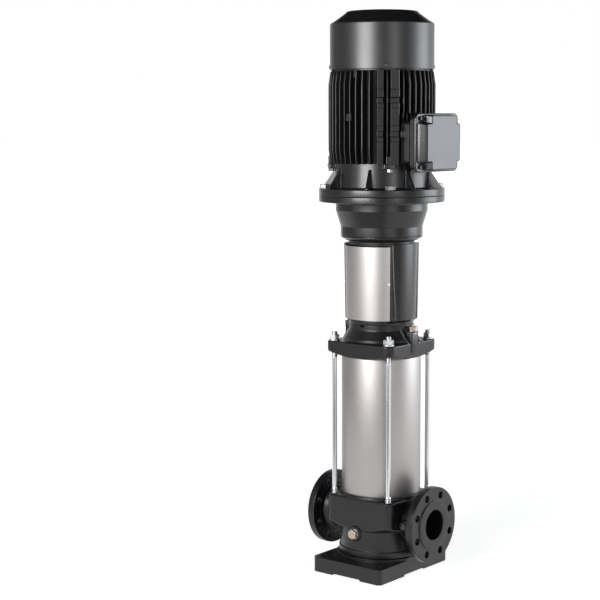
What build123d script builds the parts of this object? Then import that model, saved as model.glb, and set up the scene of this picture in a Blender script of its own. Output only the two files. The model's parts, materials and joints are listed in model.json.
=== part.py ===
from build123d import *
import os
from math import atan2, cos, degrees, radians, sin, sqrt

os.makedirs("parts", exist_ok=True)

# Vertical multistage pump, in millimetres. +Z is up and the floor is Z = 0. The shaft runs on the Z axis.
# The suction port faces -X and the discharge port +X. The drain plug and the front guard face -Y.

# Clearances between pieces
slip_fit = 0.1
running_fit = 0.05
guard_gap = 0.3
bolt_play = 0.5

# Ports
port_bore = 80
port_flange_diameter = 200
port_flange_thickness = 20
raised_face_diameter = 132
raised_face_height = 3
port_bolt_circle = 160
suction_bolt_hole = 18
discharge_bolt_hole = 19
port_bolt_count = 8
port_to_port = 350
port_height = 140
port_neck_diameter = 104

# Base plate
plate_width = 222
plate_length = 310
plate_height = 40
plate_wall = 14
plate_top_thickness = 14
plate_corner_radius = 12
plate_rib = 12
foot_pad_gap = 90
foot_pad_depth = 4
foundation_spacing_x = 180
foundation_spacing_y = 266
foundation_hole = 14
foundation_boss = 38
foot_ring_diameter = 232
foot_ring_height = 7
base_screw_circle = 202
base_screw_size = 12

# Pump base casting
foot_flange_diameter = 224
foot_flange_height = 17
base_body_diameter = 218
base_wall = 12
block_width = 215
block_corner_radius = 22
block_draft = 1.5
block_height = 70
block_above_port = 63
block_skirt_height = 15
annulus_diameter = 194
annulus_floor_below_port = 48
suction_chamber_diameter = 124
drain_boss_diameter = 38
drain_boss_height = 4
drain_plug_height = 110
drain_plug_offset = -4
drain_thread = 20
gauge_boss_diameter = 26
gauge_boss_length = 8
gauge_thread = 13
gauge_place = 118

# Outer sleeve and its seats
sleeve_diameter = 210
sleeve_thickness = 2
seat_ring_wall = 3.4
seat_ring_height = 8
seat_depth = 5
spigot_height = 15
seal_section = 3.4

# Tie rods
rod_circle = 250
rod_shank = 13
rod_thread = 16
rod_depth = 40
rod_collar = 13
rod_hole_depth = 43
nut_across_flats = 24
nut_height = 13
washer_diameter = 30
washer_thickness = 3
rod_stand_out = 8

# Hydraulic stack
stage_count = 4
stage_height = 76
chamber_diameter = 176
chamber_wall = 3
chamber_eye = 92
guide_vane_count = 8
guide_level = 44
inlet_ring_height = 22
top_guide_height = 71
top_window_count = 6
impeller_diameter = 140
impeller_shroud = 3
impeller_eye = 76
impeller_width = 19
impeller_level = 8
impeller_vane_count = 6
impeller_vane = 3
impeller_wrap = 65
impeller_hub = 48
neck_ring_wall = 3.6
neck_ring_gap = 0.2
spacer_diameter = 40
bush_wall = 4
bush_length = 12
pump_shaft_diameter = 32
impeller_nut_across_flats = 46

# Pump head
head_width = 215
head_corner_radius = 22
head_plate_height = 32
head_roof = 17
head_skirt_drop = 8
head_cone_foot = 206
head_neck_diameter = 170
head_neck_height = 13
head_dome_height = 33
head_boss_diameter = 31
head_boss_height = 30
head_boss_place = head_neck_diameter / 2 + 17.5
plug_thread = 20
plug_across_flats = 26
plug_head = 13
vent_screw_diameter = 6
vent_screw_across_flats = 10
vent_screw_head = 6

# Shaft seal
seal_bore = head_neck_diameter - 94
seal_carrier_diameter = seal_bore + 40
seal_carrier_flange = 9
seal_carrier_depth = 23
seal_ring_diameter = seal_bore - 20
seal_ring_height = 8
seal_rotor_height = 22
seal_screw_circle = seal_bore + 20
seal_screw_size = 8

# Motor stool and guards
motor_flange_diameter = 330
stool_ring_bore = seal_bore + 48
stool_ring_height = 13
stool_window_height = 193
stool_leg_bore = head_neck_diameter - 10
stool_recess_height = 14
stool_waist_diameter = motor_flange_diameter - 114
stool_waist_height = 37
stool_cone_height = 42
stool_shoulder_diameter = stool_waist_diameter + 26
stool_shoulder_height = 21
stool_flange_thickness = 17
stool_bore = stool_waist_diameter - 26
stool_screw_circle = head_neck_diameter - 22
stool_screw_angles = (-118, -62, 62, 118)
stool_screw_size = 10
leg_half_angle = 40
leg_seat_angle = 4
leg_lip_angle = 4.5
leg_lip_height = 2
guard_top_diameter = 193
guard_bottom_diameter = 187
guard_thickness = 1.2
guard_screw_size = 5
drain_slot_width = 12
drain_slot_depth = 5

# Shaft coupling
coupling_diameter = 92
coupling_length = 130
coupling_split = 1
coupling_screw_size = 10
coupling_screw_place = 33
coupling_pin_diameter = 6

# Motor
motor_flange_thickness = 19
motor_bolt_circle = motor_flange_diameter - 30
motor_bolt_size = 16
motor_spigot_diameter = motor_flange_diameter - 80
motor_spigot_height = 5
shield_diameter = motor_spigot_diameter - 1
shield_height = 64
shield_wall = 12
shield_rib_count = 8
shield_rib = 7
shield_lug_width = 30
shield_lug_height = 12
shield_bolt_circle = shield_diameter + 17
shield_bolt_size = 8
frame_height = 237
barrel_diameter = shield_diameter - 21
barrel_wall = 9
fin_count = 48
fin_thickness = 3.8
fin_diameter = barrel_diameter + 51
fin_end_drop = 5
fin_end_length = 34
foot_strip_width = 20
foot_strip_offset = 19
foot_strip_reach = fin_diameter / 2 + 4.5
foot_pad_raise = 4
top_shield_height = 16
top_shield_diameter = barrel_diameter + 20
top_bolt_circle = barrel_diameter + 4
motor_shaft_end = 42
motor_shaft_end_length = 110
motor_shaft_seat = 45
motor_shaft_core = 52
stator_bore = 128
air_gap = 0.6
core_length = 150
winding_length = 30
bearing_diameter = 100
bearing_width = 25

# Fan and fan cover
fan_diameter = barrel_diameter + 8
fan_hub = 60
fan_width = 46
fan_blade_count = 9
fan_blade = 3
fan_plate = 3
fan_cover_gap = 5
fan_cover_diameter = barrel_diameter + 43
fan_cover_wall = 2.5
fan_cover_skirt = 115
fan_cover_shoulder = 8
fan_cover_cone = 21
fan_cover_crown_diameter = 182
fan_cover_crown_height = 5
grille_slot_count = 24
grille_slot_width = 8
grille_slot_inner = 40
grille_slot_outer = 84
cover_screw_size = 6

# Terminal box on the +X side of the motor
box_level = 1137.5
box_seat = barrel_diameter / 2 + 4
box_neck_width = 150
box_neck_height = 108
box_rim_start = box_seat + 29
box_rim_width = 172
box_rim_height = 136
box_face = box_seat + 47
box_wall = 5
box_gasket = 2
lid_width = 190
lid_height = 148
lid_thickness = 8
lid_corner_radius = 16
lid_raise = 23
lid_raise_width = 174
lid_raise_height = 138
lid_draft = 26
lid_pocket_width = 40
lid_pocket_height = 22
lid_screw_size = 6
entry_size = 32
entry_place = 38
entry_boss = 42

# Levels worked out from the sizes above
foot_top = plate_height + foot_ring_height
block_top = port_height + block_above_port
block_bottom = block_top - block_height
body_top = block_bottom - block_skirt_height
annulus_floor = port_height - annulus_floor_below_port
stack_bottom = block_top + inlet_ring_height
stack_top = stack_bottom + stage_count * stage_height
head_ceiling = stack_top + top_guide_height
head_top = head_ceiling + head_roof
head_seat = head_top - head_plate_height
neck_bottom = head_top + head_dome_height
neck_top = neck_bottom + head_neck_height
guard_bottom = neck_top + stool_ring_height
guard_top = guard_bottom + stool_window_height
waist_bottom = guard_top + stool_recess_height
cone_bottom = waist_bottom + stool_waist_height
shoulder_bottom = cone_bottom + stool_cone_height
stool_flange_bottom = shoulder_bottom + stool_shoulder_height
motor_face = stool_flange_bottom + stool_flange_thickness
flange_top = motor_face + motor_flange_thickness
frame_bottom = flange_top + shield_height
frame_top = frame_bottom + frame_height
cover_bottom = frame_top + fan_cover_gap
cover_shoulder = cover_bottom + fan_cover_skirt
cover_top = cover_shoulder + fan_cover_shoulder + fan_cover_cone + fan_cover_crown_height
sleeve_bottom = block_top + seat_ring_height - seat_depth
sleeve_top = head_seat - seat_ring_height + seat_depth
sleeve_inner = sleeve_diameter / 2 - sleeve_thickness
core_middle = frame_bottom + frame_height / 2
coupling_middle = (guard_bottom + guard_top) / 2 + coupling_length / 2 + 10

UP = (Align.CENTER, Align.CENTER, Align.MIN)
box_axis = Plane((0, 0, box_level), x_dir=(0, 1, 0), z_dir=(1, 0, 0)).location


def outline(points):
    """A closed face in the XZ plane from (radius, height) points."""
    return make_face(Plane.XZ * Polyline(*points, close=True))


def turned(points):
    """A solid of revolution about Z."""
    return revolve(outline(points), Axis.Z)


def sector(points, start, sweep):
    """A part of a solid of revolution, from the start angle on, in degrees."""
    return Rot(0, 0, start) * revolve(outline(points), Axis.Z, sweep)


def bar(diameter, low, high):
    """A round bar on the Z axis between two heights."""
    return Pos(0, 0, low) * Cylinder(diameter / 2, high - low, align=UP)


def ring(inner, outer, low, high):
    """A round ring on the Z axis, from two diameters and two heights."""
    return bar(outer, low, high) - bar(inner, low - 1, high + 1)


def prism(sketch, low, high):
    """A flat sketch raised between two heights."""
    return extrude(Pos(0, 0, low) * sketch, high - low)


def block(x, y, z):
    """A box from three (low, high) pairs."""
    size = [high - low for low, high in (x, y, z)]
    return Pos(x[0], y[0], z[0]) * Box(*size, align=(Align.MIN, Align.MIN, Align.MIN))


def around(shape, count, first=0):
    """Copies of a shape at equal angles about Z."""
    return [Rot(0, 0, first + 360 / count * i) * shape for i in range(count)]


def group(shapes):
    """Several separate solids as one node."""
    return Compound(children=list(shapes))


def hexagon(across_flats, low, high):
    """A hexagonal bar on the Z axis."""
    return prism(RegularPolygon(across_flats / 2, 6, major_radius=False), low, high)


def hex_screw(size, length, head=None, across_flats=None):
    """A hexagon head screw that points down, with the underside of its head at Z = 0."""
    head = head or 0.65 * size
    across_flats = across_flats or 1.55 * size + 1
    return hexagon(across_flats, 0, head) + bar(size, -length, 0)


def base_plate():
    """The foot casting: a ribbed slab, open below, with four pads and a round seat on top."""
    footprint = RectangleRounded(plate_width, plate_length, plate_corner_radius)
    slab = prism(footprint, 0, plate_height)
    seat = bar(foot_ring_diameter, plate_height, foot_top) & prism(footprint, 0, foot_top)
    ceiling = plate_height - plate_top_thickness
    holes = GridLocations(foundation_spacing_x, foundation_spacing_y, 2, 2)
    hollow = prism(Rectangle(plate_width - 2 * plate_wall, plate_length - 2 * plate_wall), -1, ceiling)
    hollow -= [place * bar(foundation_boss, -1, ceiling) for place in holes]
    hollow -= block((-plate_rib / 2, plate_rib / 2), (-plate_length, plate_length), (-1, ceiling))
    hollow -= block((-plate_width, plate_width), (-plate_rib / 2, plate_rib / 2), (-1, ceiling))
    plate = slab + seat - hollow
    plate -= [place * bar(foundation_hole, -1, plate_height + 1) for place in holes]
    half = foot_pad_gap / 2
    plate -= block((-half, half), (-plate_length, plate_length), (-1, foot_pad_depth))
    plate -= block((-plate_width, plate_width), (-half, half), (-1, foot_pad_depth))
    screw_hole = Pos(base_screw_circle / 2, 0, 0) * bar(base_screw_size + 2 * bolt_play, 0, foot_top + 1)
    return plate - around(screw_hole, 4, 45)


def base_plate_screws():
    """Four screws, from below, that hold the pump base on the base plate."""
    length = plate_top_thickness + foot_ring_height + base_screw_size
    screw = Rot(180, 0, 0) * hex_screw(base_screw_size, length)
    ceiling = plate_height - plate_top_thickness
    return group(around(Pos(base_screw_circle / 2, 0, ceiling) * screw, 4, 45))


def sleeve_seat():
    """The ring that holds one end of the sleeve, seen from Z = 0 upwards, with its seal groove."""
    inside = annulus_diameter / 2
    spigot = sleeve_inner - 5 * slip_fit
    groove = spigot - seal_section + 4 * slip_fit
    outside = sleeve_diameter / 2 + seat_ring_wall
    slot = sleeve_diameter / 2 + 2 * slip_fit
    floor = seat_ring_height - seat_depth
    low = seat_ring_height + 0.5
    high = low + seal_section + 2 * slip_fit
    return turned([
        (inside, 0), (outside, 0), (outside, seat_ring_height), (slot, seat_ring_height), (slot, floor),
        (spigot, floor), (spigot, low), (groove, low), (groove, high), (spigot, high),
        (spigot, spigot_height), (inside, spigot_height),
    ])


def port(bolt_hole):
    """The neck and flange of the +X port, solid, with its raised face."""
    neck = port_neck_diameter / 2
    rim = port_flange_diameter / 2
    seat = raised_face_diameter / 2
    face = port_to_port / 2
    front = face - raised_face_height
    back = front - port_flange_thickness
    shape = revolve(make_face(Plane.XZ * Polyline(
        (0, 0), (0, neck), (back - 12, neck), (back, neck + 8), (back, rim), (front, rim), (front, seat),
        (face, seat), (face, 0), close=True)), Axis.X)
    hole = Pos(0, port_bolt_circle / 2, 0) * Rot(0, 90, 0) * bar(bolt_hole, back - 1, face + 1)
    half_step = 180 / port_bolt_count
    holes = [Rot(half_step * (2 * i + 1), 0, 0) * hole for i in range(port_bolt_count)]
    return Pos(0, 0, port_height) * (shape - holes)


def pump_base():
    """The base casting: two in-line ports, the suction chamber, the discharge ring and the rod block."""
    foot = foot_flange_diameter / 2
    body = base_body_diameter / 2
    reach = block_width
    shape = turned([
        (0, foot_top), (foot, foot_top), (foot, foot_top + foot_flange_height),
        (body, foot_top + foot_flange_height + 3), (body, block_top), (0, block_top),
    ])
    square = RectangleRounded(block_width, block_width, block_corner_radius)
    tower = extrude(Pos(0, 0, body_top) * square, block_top - body_top, taper=block_draft)
    skirt = turned([
        (0, body_top), (body, body_top), (body + 34, block_bottom), (reach, block_bottom),
        (reach, block_top), (0, block_top),
    ])
    below = turned([(0, foot_top), (reach, foot_top), (reach, body_top), (0, body_top)])
    shape = (shape & below) + (tower & skirt)
    shape += port(discharge_bolt_hole)
    shape += Rot(0, 0, 180) * port(suction_bolt_hole)
    ring_inner = suction_chamber_diameter / 2 + base_wall
    ring_outer = annulus_diameter / 2
    shape -= turned([
        (ring_inner, annulus_floor), (ring_outer, annulus_floor), (ring_outer, block_top + 1),
        (ring_inner, block_top + 1),
    ])
    duct = bar(port_bore + 2 * base_wall, ring_inner - 2, ring_outer + 2)
    shape += Pos(0, 0, port_height) * Rot(0, -90, 0) * duct
    shape -= bar(suction_chamber_diameter, annulus_floor, block_top + 1)
    along = Pos(0, 0, port_height) * Rot(0, 90, 0)
    shape -= along * bar(port_bore, -port_to_port, -suction_chamber_diameter / 4)
    shape -= along * bar(port_bore, (ring_inner + ring_outer) / 2, port_to_port)
    shape += Pos(0, 0, block_top) * sleeve_seat()
    shape -= bar(base_body_diameter - 3 * base_wall, foot_top - 1, annulus_floor - base_wall)
    return shape - base_holes() + drain_boss() - drain_hole() + gauge_bosses() - gauge_holes()


def base_holes():
    """Threaded holes for the tie rods from above and for the plate screws from below."""
    rod = bar(rod_thread + 2 * slip_fit, block_top - rod_hole_depth, block_top + 1)
    depth = foot_top + 1.5 * base_screw_size
    screw = bar(base_screw_size + 2 * slip_fit, foot_top - 1, depth)
    rods = around(Pos(rod_circle / 2, 0, 0) * rod, 4, 45)
    return rods + around(Pos(base_screw_circle / 2, 0, 0) * screw, 4, 45)


def facing_front(height, across=0):
    """The place on the -Y side at a height, with local +Z pointing out."""
    return Pos(across, 0, height) * Rot(90, 0, 0)


def drain_boss():
    """The round boss of the drain plug."""
    low = (annulus_diameter / 2 + base_body_diameter / 2) / 2
    high = base_body_diameter / 2 + drain_boss_height
    return facing_front(drain_plug_height, drain_plug_offset) * bar(drain_boss_diameter, low, high)


def drain_hole():
    """The threaded drain hole, into the discharge ring."""
    high = base_body_diameter / 2 + drain_boss_height + 1
    hole = bar(drain_thread + 2 * slip_fit, annulus_diameter / 2 - 4, high)
    return facing_front(drain_plug_height, drain_plug_offset) * hole


def drain_plug():
    """The drain plug: a hexagon with a collar on a short thread."""
    face = base_body_diameter / 2 + drain_boss_height
    shape = hexagon(1.2 * drain_thread, 3, 11) + bar(1.4 * drain_thread, 0, 3) + bar(drain_thread, -12, 0)
    return facing_front(drain_plug_height, drain_plug_offset) * Pos(0, 0, face) * shape


def gauge_places():
    """The places of the two gauge ports, on the -Y side of the port necks."""
    return [Pos(side * gauge_place, 0, 0) * facing_front(port_height) for side in (-1, 1)]


def gauge_bosses():
    """Bosses of the gauge ports."""
    low = port_neck_diameter / 2 - 6
    boss = bar(gauge_boss_diameter, low, low + 6 + gauge_boss_length)
    return [place * boss for place in gauge_places()]


def gauge_holes():
    """Threaded holes of the gauge ports, through to the bore."""
    hole = bar(gauge_thread + 2 * slip_fit, port_bore / 2 - 6, port_neck_diameter)
    return [place * hole for place in gauge_places()]


def head_plug_place():
    """The place of the plug on the head's -X boss."""
    return Pos(-head_boss_place, 0, head_top + head_boss_height)


def port_plugs():
    """Plugs of the two gauge ports and of the head's spare port."""
    face = port_neck_diameter / 2 + gauge_boss_length
    small = Pos(0, 0, face) * hex_screw(gauge_thread, 12, 7, 17)
    large = hex_screw(plug_thread, 16, plug_head, plug_across_flats)
    return group([place * small for place in gauge_places()] + [head_plug_place() * large])


def outer_sleeve():
    """The thin stainless sleeve between base and head."""
    return ring(2 * sleeve_inner, sleeve_diameter, sleeve_bottom, sleeve_top)


def sleeve_seals():
    """The two seal rings between the seats and the sleeve."""
    low = seat_ring_height + 0.5 + slip_fit
    outer = 2 * sleeve_inner - 2 * slip_fit
    section = ring(outer - 2 * seal_section, outer, low, low + seal_section)
    return group([Pos(0, 0, block_top) * section, Pos(0, 0, head_seat) * Rot(180, 0, 0) * section])


def tie_rods():
    """Four rods with thicker threaded ends, from the block to above the head."""
    low = block_top - rod_depth
    lower = block_top + rod_collar
    upper = head_seat - rod_collar
    high = head_top + washer_thickness + nut_height + rod_stand_out
    rod = bar(rod_thread, low, lower) + bar(rod_shank, lower, upper) + bar(rod_thread, upper, high)
    return group(around(Pos(rod_circle / 2, 0, 0) * rod, 4, 45))


def tie_rod_washers():
    """A washer under each rod nut."""
    washer = ring(rod_thread + 2 * bolt_play, washer_diameter, head_top, head_top + washer_thickness)
    return group(around(Pos(rod_circle / 2, 0, 0) * washer, 4, 45))


def tie_rod_nuts():
    """A hexagon nut on each rod."""
    low = head_top + washer_thickness
    nut = hexagon(nut_across_flats, low, low + nut_height) - bar(rod_thread + 2 * slip_fit, low - 1, low + 30)
    return group(around(Pos(rod_circle / 2, 0, 0) * nut, 4, 45))


def inlet_ring():
    """The funnel that leads from the suction chamber to the first stage."""
    inner = suction_chamber_diameter / 2
    outer = chamber_diameter / 2
    eye = chamber_eye / 2
    return turned([
        (inner - 8, block_top), (inner + base_wall, block_top), (outer, stack_bottom - 6),
        (outer, stack_bottom), (eye, stack_bottom), (eye, stack_bottom - 6),
    ])


def stage_level(index):
    """The bottom of a stage."""
    return stack_bottom + index * stage_height


def stage_chamber(index):
    """One chamber: a cup with an eye below, and above the impeller a disc with return vanes."""
    low = stage_level(index)
    outer = chamber_diameter / 2
    inner = outer - chamber_wall
    disc = low + guide_level
    hub = spacer_diameter / 2 + bush_wall
    high = low + stage_height
    cup = turned([
        (chamber_eye / 2, low), (outer, low), (outer, high), (inner, high), (inner, low + chamber_wall),
        (chamber_eye / 2, low + chamber_wall),
    ])
    guide = turned([
        (hub + slip_fit, disc - 2), (hub + 6, disc - 2), (hub + 6, disc), (inner - 10, disc),
        (inner - 10, disc + chamber_wall), (hub + 6, disc + chamber_wall), (hub + 6, disc + bush_length),
        (hub + slip_fit, disc + bush_length),
    ])
    vane_top = high - chamber_wall
    vane = block((chamber_eye / 2, inner + 1), (-1.5, 1.5), (disc, vane_top))
    return cup + guide + around(vane, guide_vane_count)


def neck_rings():
    """The ring in each chamber's eye that the impeller turns in."""
    outer = chamber_eye - 2 * slip_fit
    inner = impeller_eye + 2 * chamber_wall + 2 * neck_ring_gap
    levels = [stage_level(i) for i in range(stage_count)]
    return group([ring(inner, outer, level, level + chamber_wall) for level in levels])


def stage_bushes():
    """The bearing bush in each chamber's hub."""
    inner = spacer_diameter + 2 * running_fit
    outer = spacer_diameter + 2 * bush_wall
    low = guide_level - 2
    levels = [stage_level(i) + low for i in range(stage_count)]
    return group([ring(inner, outer, level, level + bush_length) for level in levels])


def polar(radius, angle):
    """A point in the XY plane."""
    return radius * cos(radians(angle)), radius * sin(radians(angle))


def impeller_vane_outline():
    """A backward curved vane between the eye and the rim, as two arcs."""
    inner = impeller_eye / 2
    outer = impeller_diameter / 2
    middle = (inner + outer) / 2
    spread = [degrees(impeller_vane / radius) for radius in (inner, middle, outer)]
    bow = 0.56 * impeller_wrap
    front = ThreePointArc(polar(inner, 0), polar(middle, bow), polar(outer, impeller_wrap))
    tail = polar(outer, impeller_wrap + spread[2])
    back = ThreePointArc(tail, polar(middle, bow + spread[1]), polar(inner, spread[0]))
    return make_face([front, Line(front @ 1, back @ 0), back, Line(back @ 1, front @ 0)])


def impeller(index):
    """A closed impeller: two shrouds, curved vanes, an eye skirt and a hub."""
    low = stage_level(index) + impeller_level
    high = low + impeller_width + 2 * impeller_shroud
    eye = impeller_eye / 2
    rim = impeller_diameter / 2
    bore = pump_shaft_diameter / 2 + slip_fit
    hub = impeller_hub / 2
    skirt = stage_level(index) - 1
    lower = low + impeller_shroud
    upper = high - impeller_shroud
    front = turned([
        (eye, skirt), (eye + chamber_wall, skirt), (eye + chamber_wall, low), (rim, low), (rim, lower),
        (eye, lower),
    ])
    back = turned([
        (bore, low - 4), (hub, low - 4), (hub, upper), (rim, upper), (rim, high), (hub, high),
        (hub, high + 1), (bore, high + 1),
    ])
    vane = prism(impeller_vane_outline(), lower, upper)
    return front + back + around(vane, impeller_vane_count)


def impeller_spacers():
    """Sleeves on the shaft between the impellers, which run in the stage bushes."""
    bore = pump_shaft_diameter + 2 * slip_fit
    start = impeller_level + impeller_width + 2 * impeller_shroud + 1
    end = stage_height + impeller_level - 4
    levels = [stage_level(i) for i in range(stage_count)]
    return group([ring(bore, spacer_diameter, level + start, level + end) for level in levels])


def impeller_nut():
    """The nut below the first impeller."""
    high = stage_level(0) + impeller_level - 4
    bore = bar(pump_shaft_diameter + 2 * slip_fit, 0, high + 1)
    return hexagon(impeller_nut_across_flats, high - 14, high) - bore


def pump_shaft():
    """The pump shaft, from below the first impeller up into the coupling."""
    shaft = bar(pump_shaft_diameter, stage_level(0) + impeller_level - 22, coupling_middle - 1)
    return shaft - coupling_pin_hole()


def top_guide():
    """The lantern on the last chamber, whose windows let the water out into the head."""
    outer = chamber_diameter / 2
    disc = stack_top + 12
    eye = spacer_diameter / 2 + 2
    shell = turned([
        (eye, stack_top), (outer, stack_top), (outer, head_ceiling), (outer - 6, head_ceiling),
        (outer - 6, disc), (eye, disc),
    ])
    window = block((outer - 12, outer + 6), (-30, 30), (disc + 6, head_ceiling - 8))
    port_hole = Pos(outer - 22, 0, 0) * bar(26, stack_top - 1, disc + 1)
    return shell - around(window, top_window_count) - around(port_hole, top_window_count)


def head_boss():
    """A round boss at the middle of a side of the head, with a web to the dome."""
    half = head_boss_diameter / 2
    top = head_top + head_boss_height
    boss = turned([(0, head_seat), (half - 6, head_seat + 4), (half, head_seat + 12), (half, top), (0, top)])
    web = block((head_neck_diameter / 2 - 4, head_boss_place), (-8, 8), (head_seat + 12, top - 6))
    return web + Pos(head_boss_place, 0, 0) * boss


def pump_head():
    """The head casting: a square plate over the sleeve, a dome and a round neck for the stool."""
    reach = head_width
    skirt = sleeve_diameter / 2 + seat_ring_wall + 0.6
    bottom = head_seat - head_skirt_drop
    prism_plate = prism(RectangleRounded(head_width, head_width, head_corner_radius), bottom, head_top)
    rise = (reach - skirt) * 0.27
    limit = turned([
        (0, bottom), (skirt, bottom), (reach, head_seat + rise), (reach, head_top), (0, head_top),
    ])
    neck = head_neck_diameter / 2
    foot = head_cone_foot / 2
    dome = turned([
        (0, head_seat + 5), (foot, head_seat + 5), (foot, head_top), (foot - 3, head_top + 8),
        (neck, neck_bottom), (neck, neck_top), (0, neck_top),
    ])
    shape = (prism_plate & limit) + dome + around(head_boss(), 2)
    cavity = annulus_diameter / 2
    shape -= turned([
        (0, bottom), (cavity + 8, bottom), (cavity + 8, head_seat), (cavity, head_seat),
        (cavity, head_ceiling), (chamber_diameter / 2 - 8, head_ceiling),
        (seal_bore / 2 + 14, neck_bottom - 12), (0, neck_bottom - 12),
    ])
    shape -= bar(seal_bore, head_ceiling, neck_top + 1)
    seat = Pos(0, 0, head_seat) * Rot(180, 0, 0) * sleeve_seat()
    shape += seat
    rod = Pos(rod_circle / 2, 0, 0) * bar(rod_thread + 2 * bolt_play, bottom - 1, head_top + 1)
    shape -= around(rod, 4, 45)
    return shape - head_holes()


def head_holes():
    """Holes for the plugs and screws, and two slots that let leakage run off."""
    boss_top = head_top + head_boss_height
    plug = Pos(head_boss_place, 0, 0) * bar(plug_thread + 2 * slip_fit, boss_top - 20, boss_top + 1)
    passage = Pos(head_boss_place, 0, 0) * bar(6, head_ceiling - 2, boss_top)
    seal = bar(seal_screw_size + 2 * slip_fit, neck_top - 14, neck_top + 1)
    stool = bar(stool_screw_size + 2 * slip_fit, neck_top - 16, neck_top + 1)
    half = drain_slot_width / 2
    run = (seal_carrier_diameter / 2 + 1, head_neck_diameter)
    slot = block(run, (-half, half), (neck_top - drain_slot_depth, neck_top + 1))
    shapes = around(plug, 2) + around(passage, 2) + around(slot, 2, 90)
    shapes += around(Pos(seal_screw_circle / 2, 0, 0) * seal, 4, 45)
    stool = Pos(stool_screw_circle / 2, 0, 0) * stool
    return shapes + [Rot(0, 0, angle) * stool for angle in stool_screw_angles]


def priming_plug():
    """The plug on the +X boss, drilled for its vent screw."""
    shape = hex_screw(plug_thread, 16, plug_head, plug_across_flats)
    shape -= bar(vent_screw_diameter + 2 * running_fit, -10, plug_head + 1)
    return Pos(head_boss_place, 0, head_top + head_boss_height) * shape


def vent_screw():
    """The small air vent screw in the priming plug."""
    shape = Pos(0, 0, slip_fit) * hex_screw(
        vent_screw_diameter, plug_head + 6, vent_screw_head, vent_screw_across_flats)
    return Pos(head_boss_place, 0, head_top + head_boss_height + plug_head) * shape


def seal_carrier():
    """The flanged carrier of the stationary seal ring."""
    bore = pump_shaft_diameter / 2 + 3
    rim = seal_carrier_diameter / 2
    spigot = seal_bore / 2 - slip_fit
    low = neck_top - seal_carrier_depth
    pocket = seal_ring_diameter / 2 + slip_fit
    top = neck_top + seal_carrier_flange
    step = low + seal_ring_height + 2
    shape = turned([
        (pocket, low), (spigot, low), (spigot, neck_top), (rim, neck_top), (rim, top), (bore, top),
        (bore, step), (pocket, step),
    ])
    hole = bar(seal_screw_size + 2 * bolt_play, neck_top - 1, neck_top + 20)
    return shape - around(Pos(seal_screw_circle / 2, 0, 0) * hole, 4, 45)


def seal_stationary_ring():
    """The stationary seal ring, in the carrier's pocket."""
    high = neck_top - seal_carrier_depth + seal_ring_height + 2
    return ring(pump_shaft_diameter + 2, seal_ring_diameter, high - seal_ring_height, high)


def seal_rotating_ring():
    """The rotating seal ring on the shaft, a hair below the stationary one."""
    high = neck_top - seal_carrier_depth + 2 - running_fit
    return ring(pump_shaft_diameter + 2 * slip_fit, seal_ring_diameter - 4, high - seal_rotor_height, high)


def head_screws():
    """Screws of the seal carrier and of the stool, all into the top of the head."""
    seal = Pos(seal_screw_circle / 2, 0, neck_top + seal_carrier_flange) * hex_screw(seal_screw_size, 20)
    stool = Pos(stool_screw_circle / 2, 0, guard_bottom) * hex_screw(stool_screw_size, 26, 6)
    return group(around(seal, 4, 45) + [Rot(0, 0, angle) * stool for angle in stool_screw_angles])


def guard_radius(level):
    """The guard's outer radius at a height: a slight cone."""
    share = (level - guard_bottom) / (guard_top - guard_bottom)
    return (guard_bottom_diameter + share * (guard_top_diameter - guard_bottom_diameter)) / 2


def stool_leg(middle):
    """One leg: a curved wall with a raised lip along each edge and a seat for the guards."""
    inner = stool_leg_bore / 2
    neck = head_neck_diameter / 2
    drop = guard_thickness + slip_fit
    low = guard_radius(guard_bottom) - drop
    high = guard_radius(guard_top) - drop
    half = leg_half_angle + leg_seat_angle
    wall = sector([
        (inner, neck_top), (neck, neck_top), (neck, neck_top + 5), (low, guard_bottom), (high, guard_top),
        (high, waist_bottom), (inner, waist_bottom),
    ], middle - half, 2 * half)
    proud = drop + leg_lip_height
    lip = [
        (inner + 4, guard_bottom - 2), (low, guard_bottom - 2), (low + proud, guard_bottom + 1),
        (high + proud, guard_top), (inner + 4, guard_top),
    ]
    first = sector(lip, middle - leg_half_angle, leg_lip_angle)
    last = sector(lip, middle + leg_half_angle - leg_lip_angle, leg_lip_angle)
    return wall + first + last


def motor_stool():
    """The stool between head and motor: a foot ring, two legs and a stepped cone with the motor flange."""
    neck = head_neck_diameter / 2
    waist = stool_waist_diameter / 2
    shoulder = stool_shoulder_diameter / 2
    rim = motor_flange_diameter / 2
    pilot = motor_spigot_diameter / 2 + slip_fit
    bore = stool_bore / 2
    inner = stool_leg_bore / 2
    recess = guard_radius(guard_top) - guard_thickness - slip_fit
    pilot_floor = motor_face - motor_spigot_height - 1
    top = turned([
        (inner, guard_top), (recess, guard_top), (recess, waist_bottom - 2), (recess + 4, waist_bottom),
        (waist, waist_bottom + 9), (waist, waist_bottom + 10), (waist - 1.5, waist_bottom + 10),
        (waist - 1.5, waist_bottom + 12), (waist, waist_bottom + 12), (waist, cone_bottom),
        (shoulder, shoulder_bottom), (shoulder, stool_flange_bottom), (rim, stool_flange_bottom),
        (rim, motor_face), (pilot, motor_face),
        (pilot, pilot_floor), (bore + 12, pilot_floor), (bore + 12, shoulder_bottom), (bore, cone_bottom),
        (bore, cone_bottom - 5), (inner, waist_bottom),
    ])
    foot = ring(stool_ring_bore, 2 * neck, neck_top, guard_bottom)
    shape = top + foot + stool_leg(0) + stool_leg(180)
    screw = bar(stool_screw_size + 2 * bolt_play, neck_top - 1, guard_bottom + 20)
    shape -= [Rot(0, 0, angle) * Pos(stool_screw_circle / 2, 0, 0) * screw for angle in stool_screw_angles]
    bolt = bar(motor_bolt_size + 2 * slip_fit, stool_flange_bottom - 1, motor_face + 1)
    shape -= around(Pos(motor_bolt_circle / 2, 0, 0) * bolt, 4, 45)
    return shape - guard_screw_holes()


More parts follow.
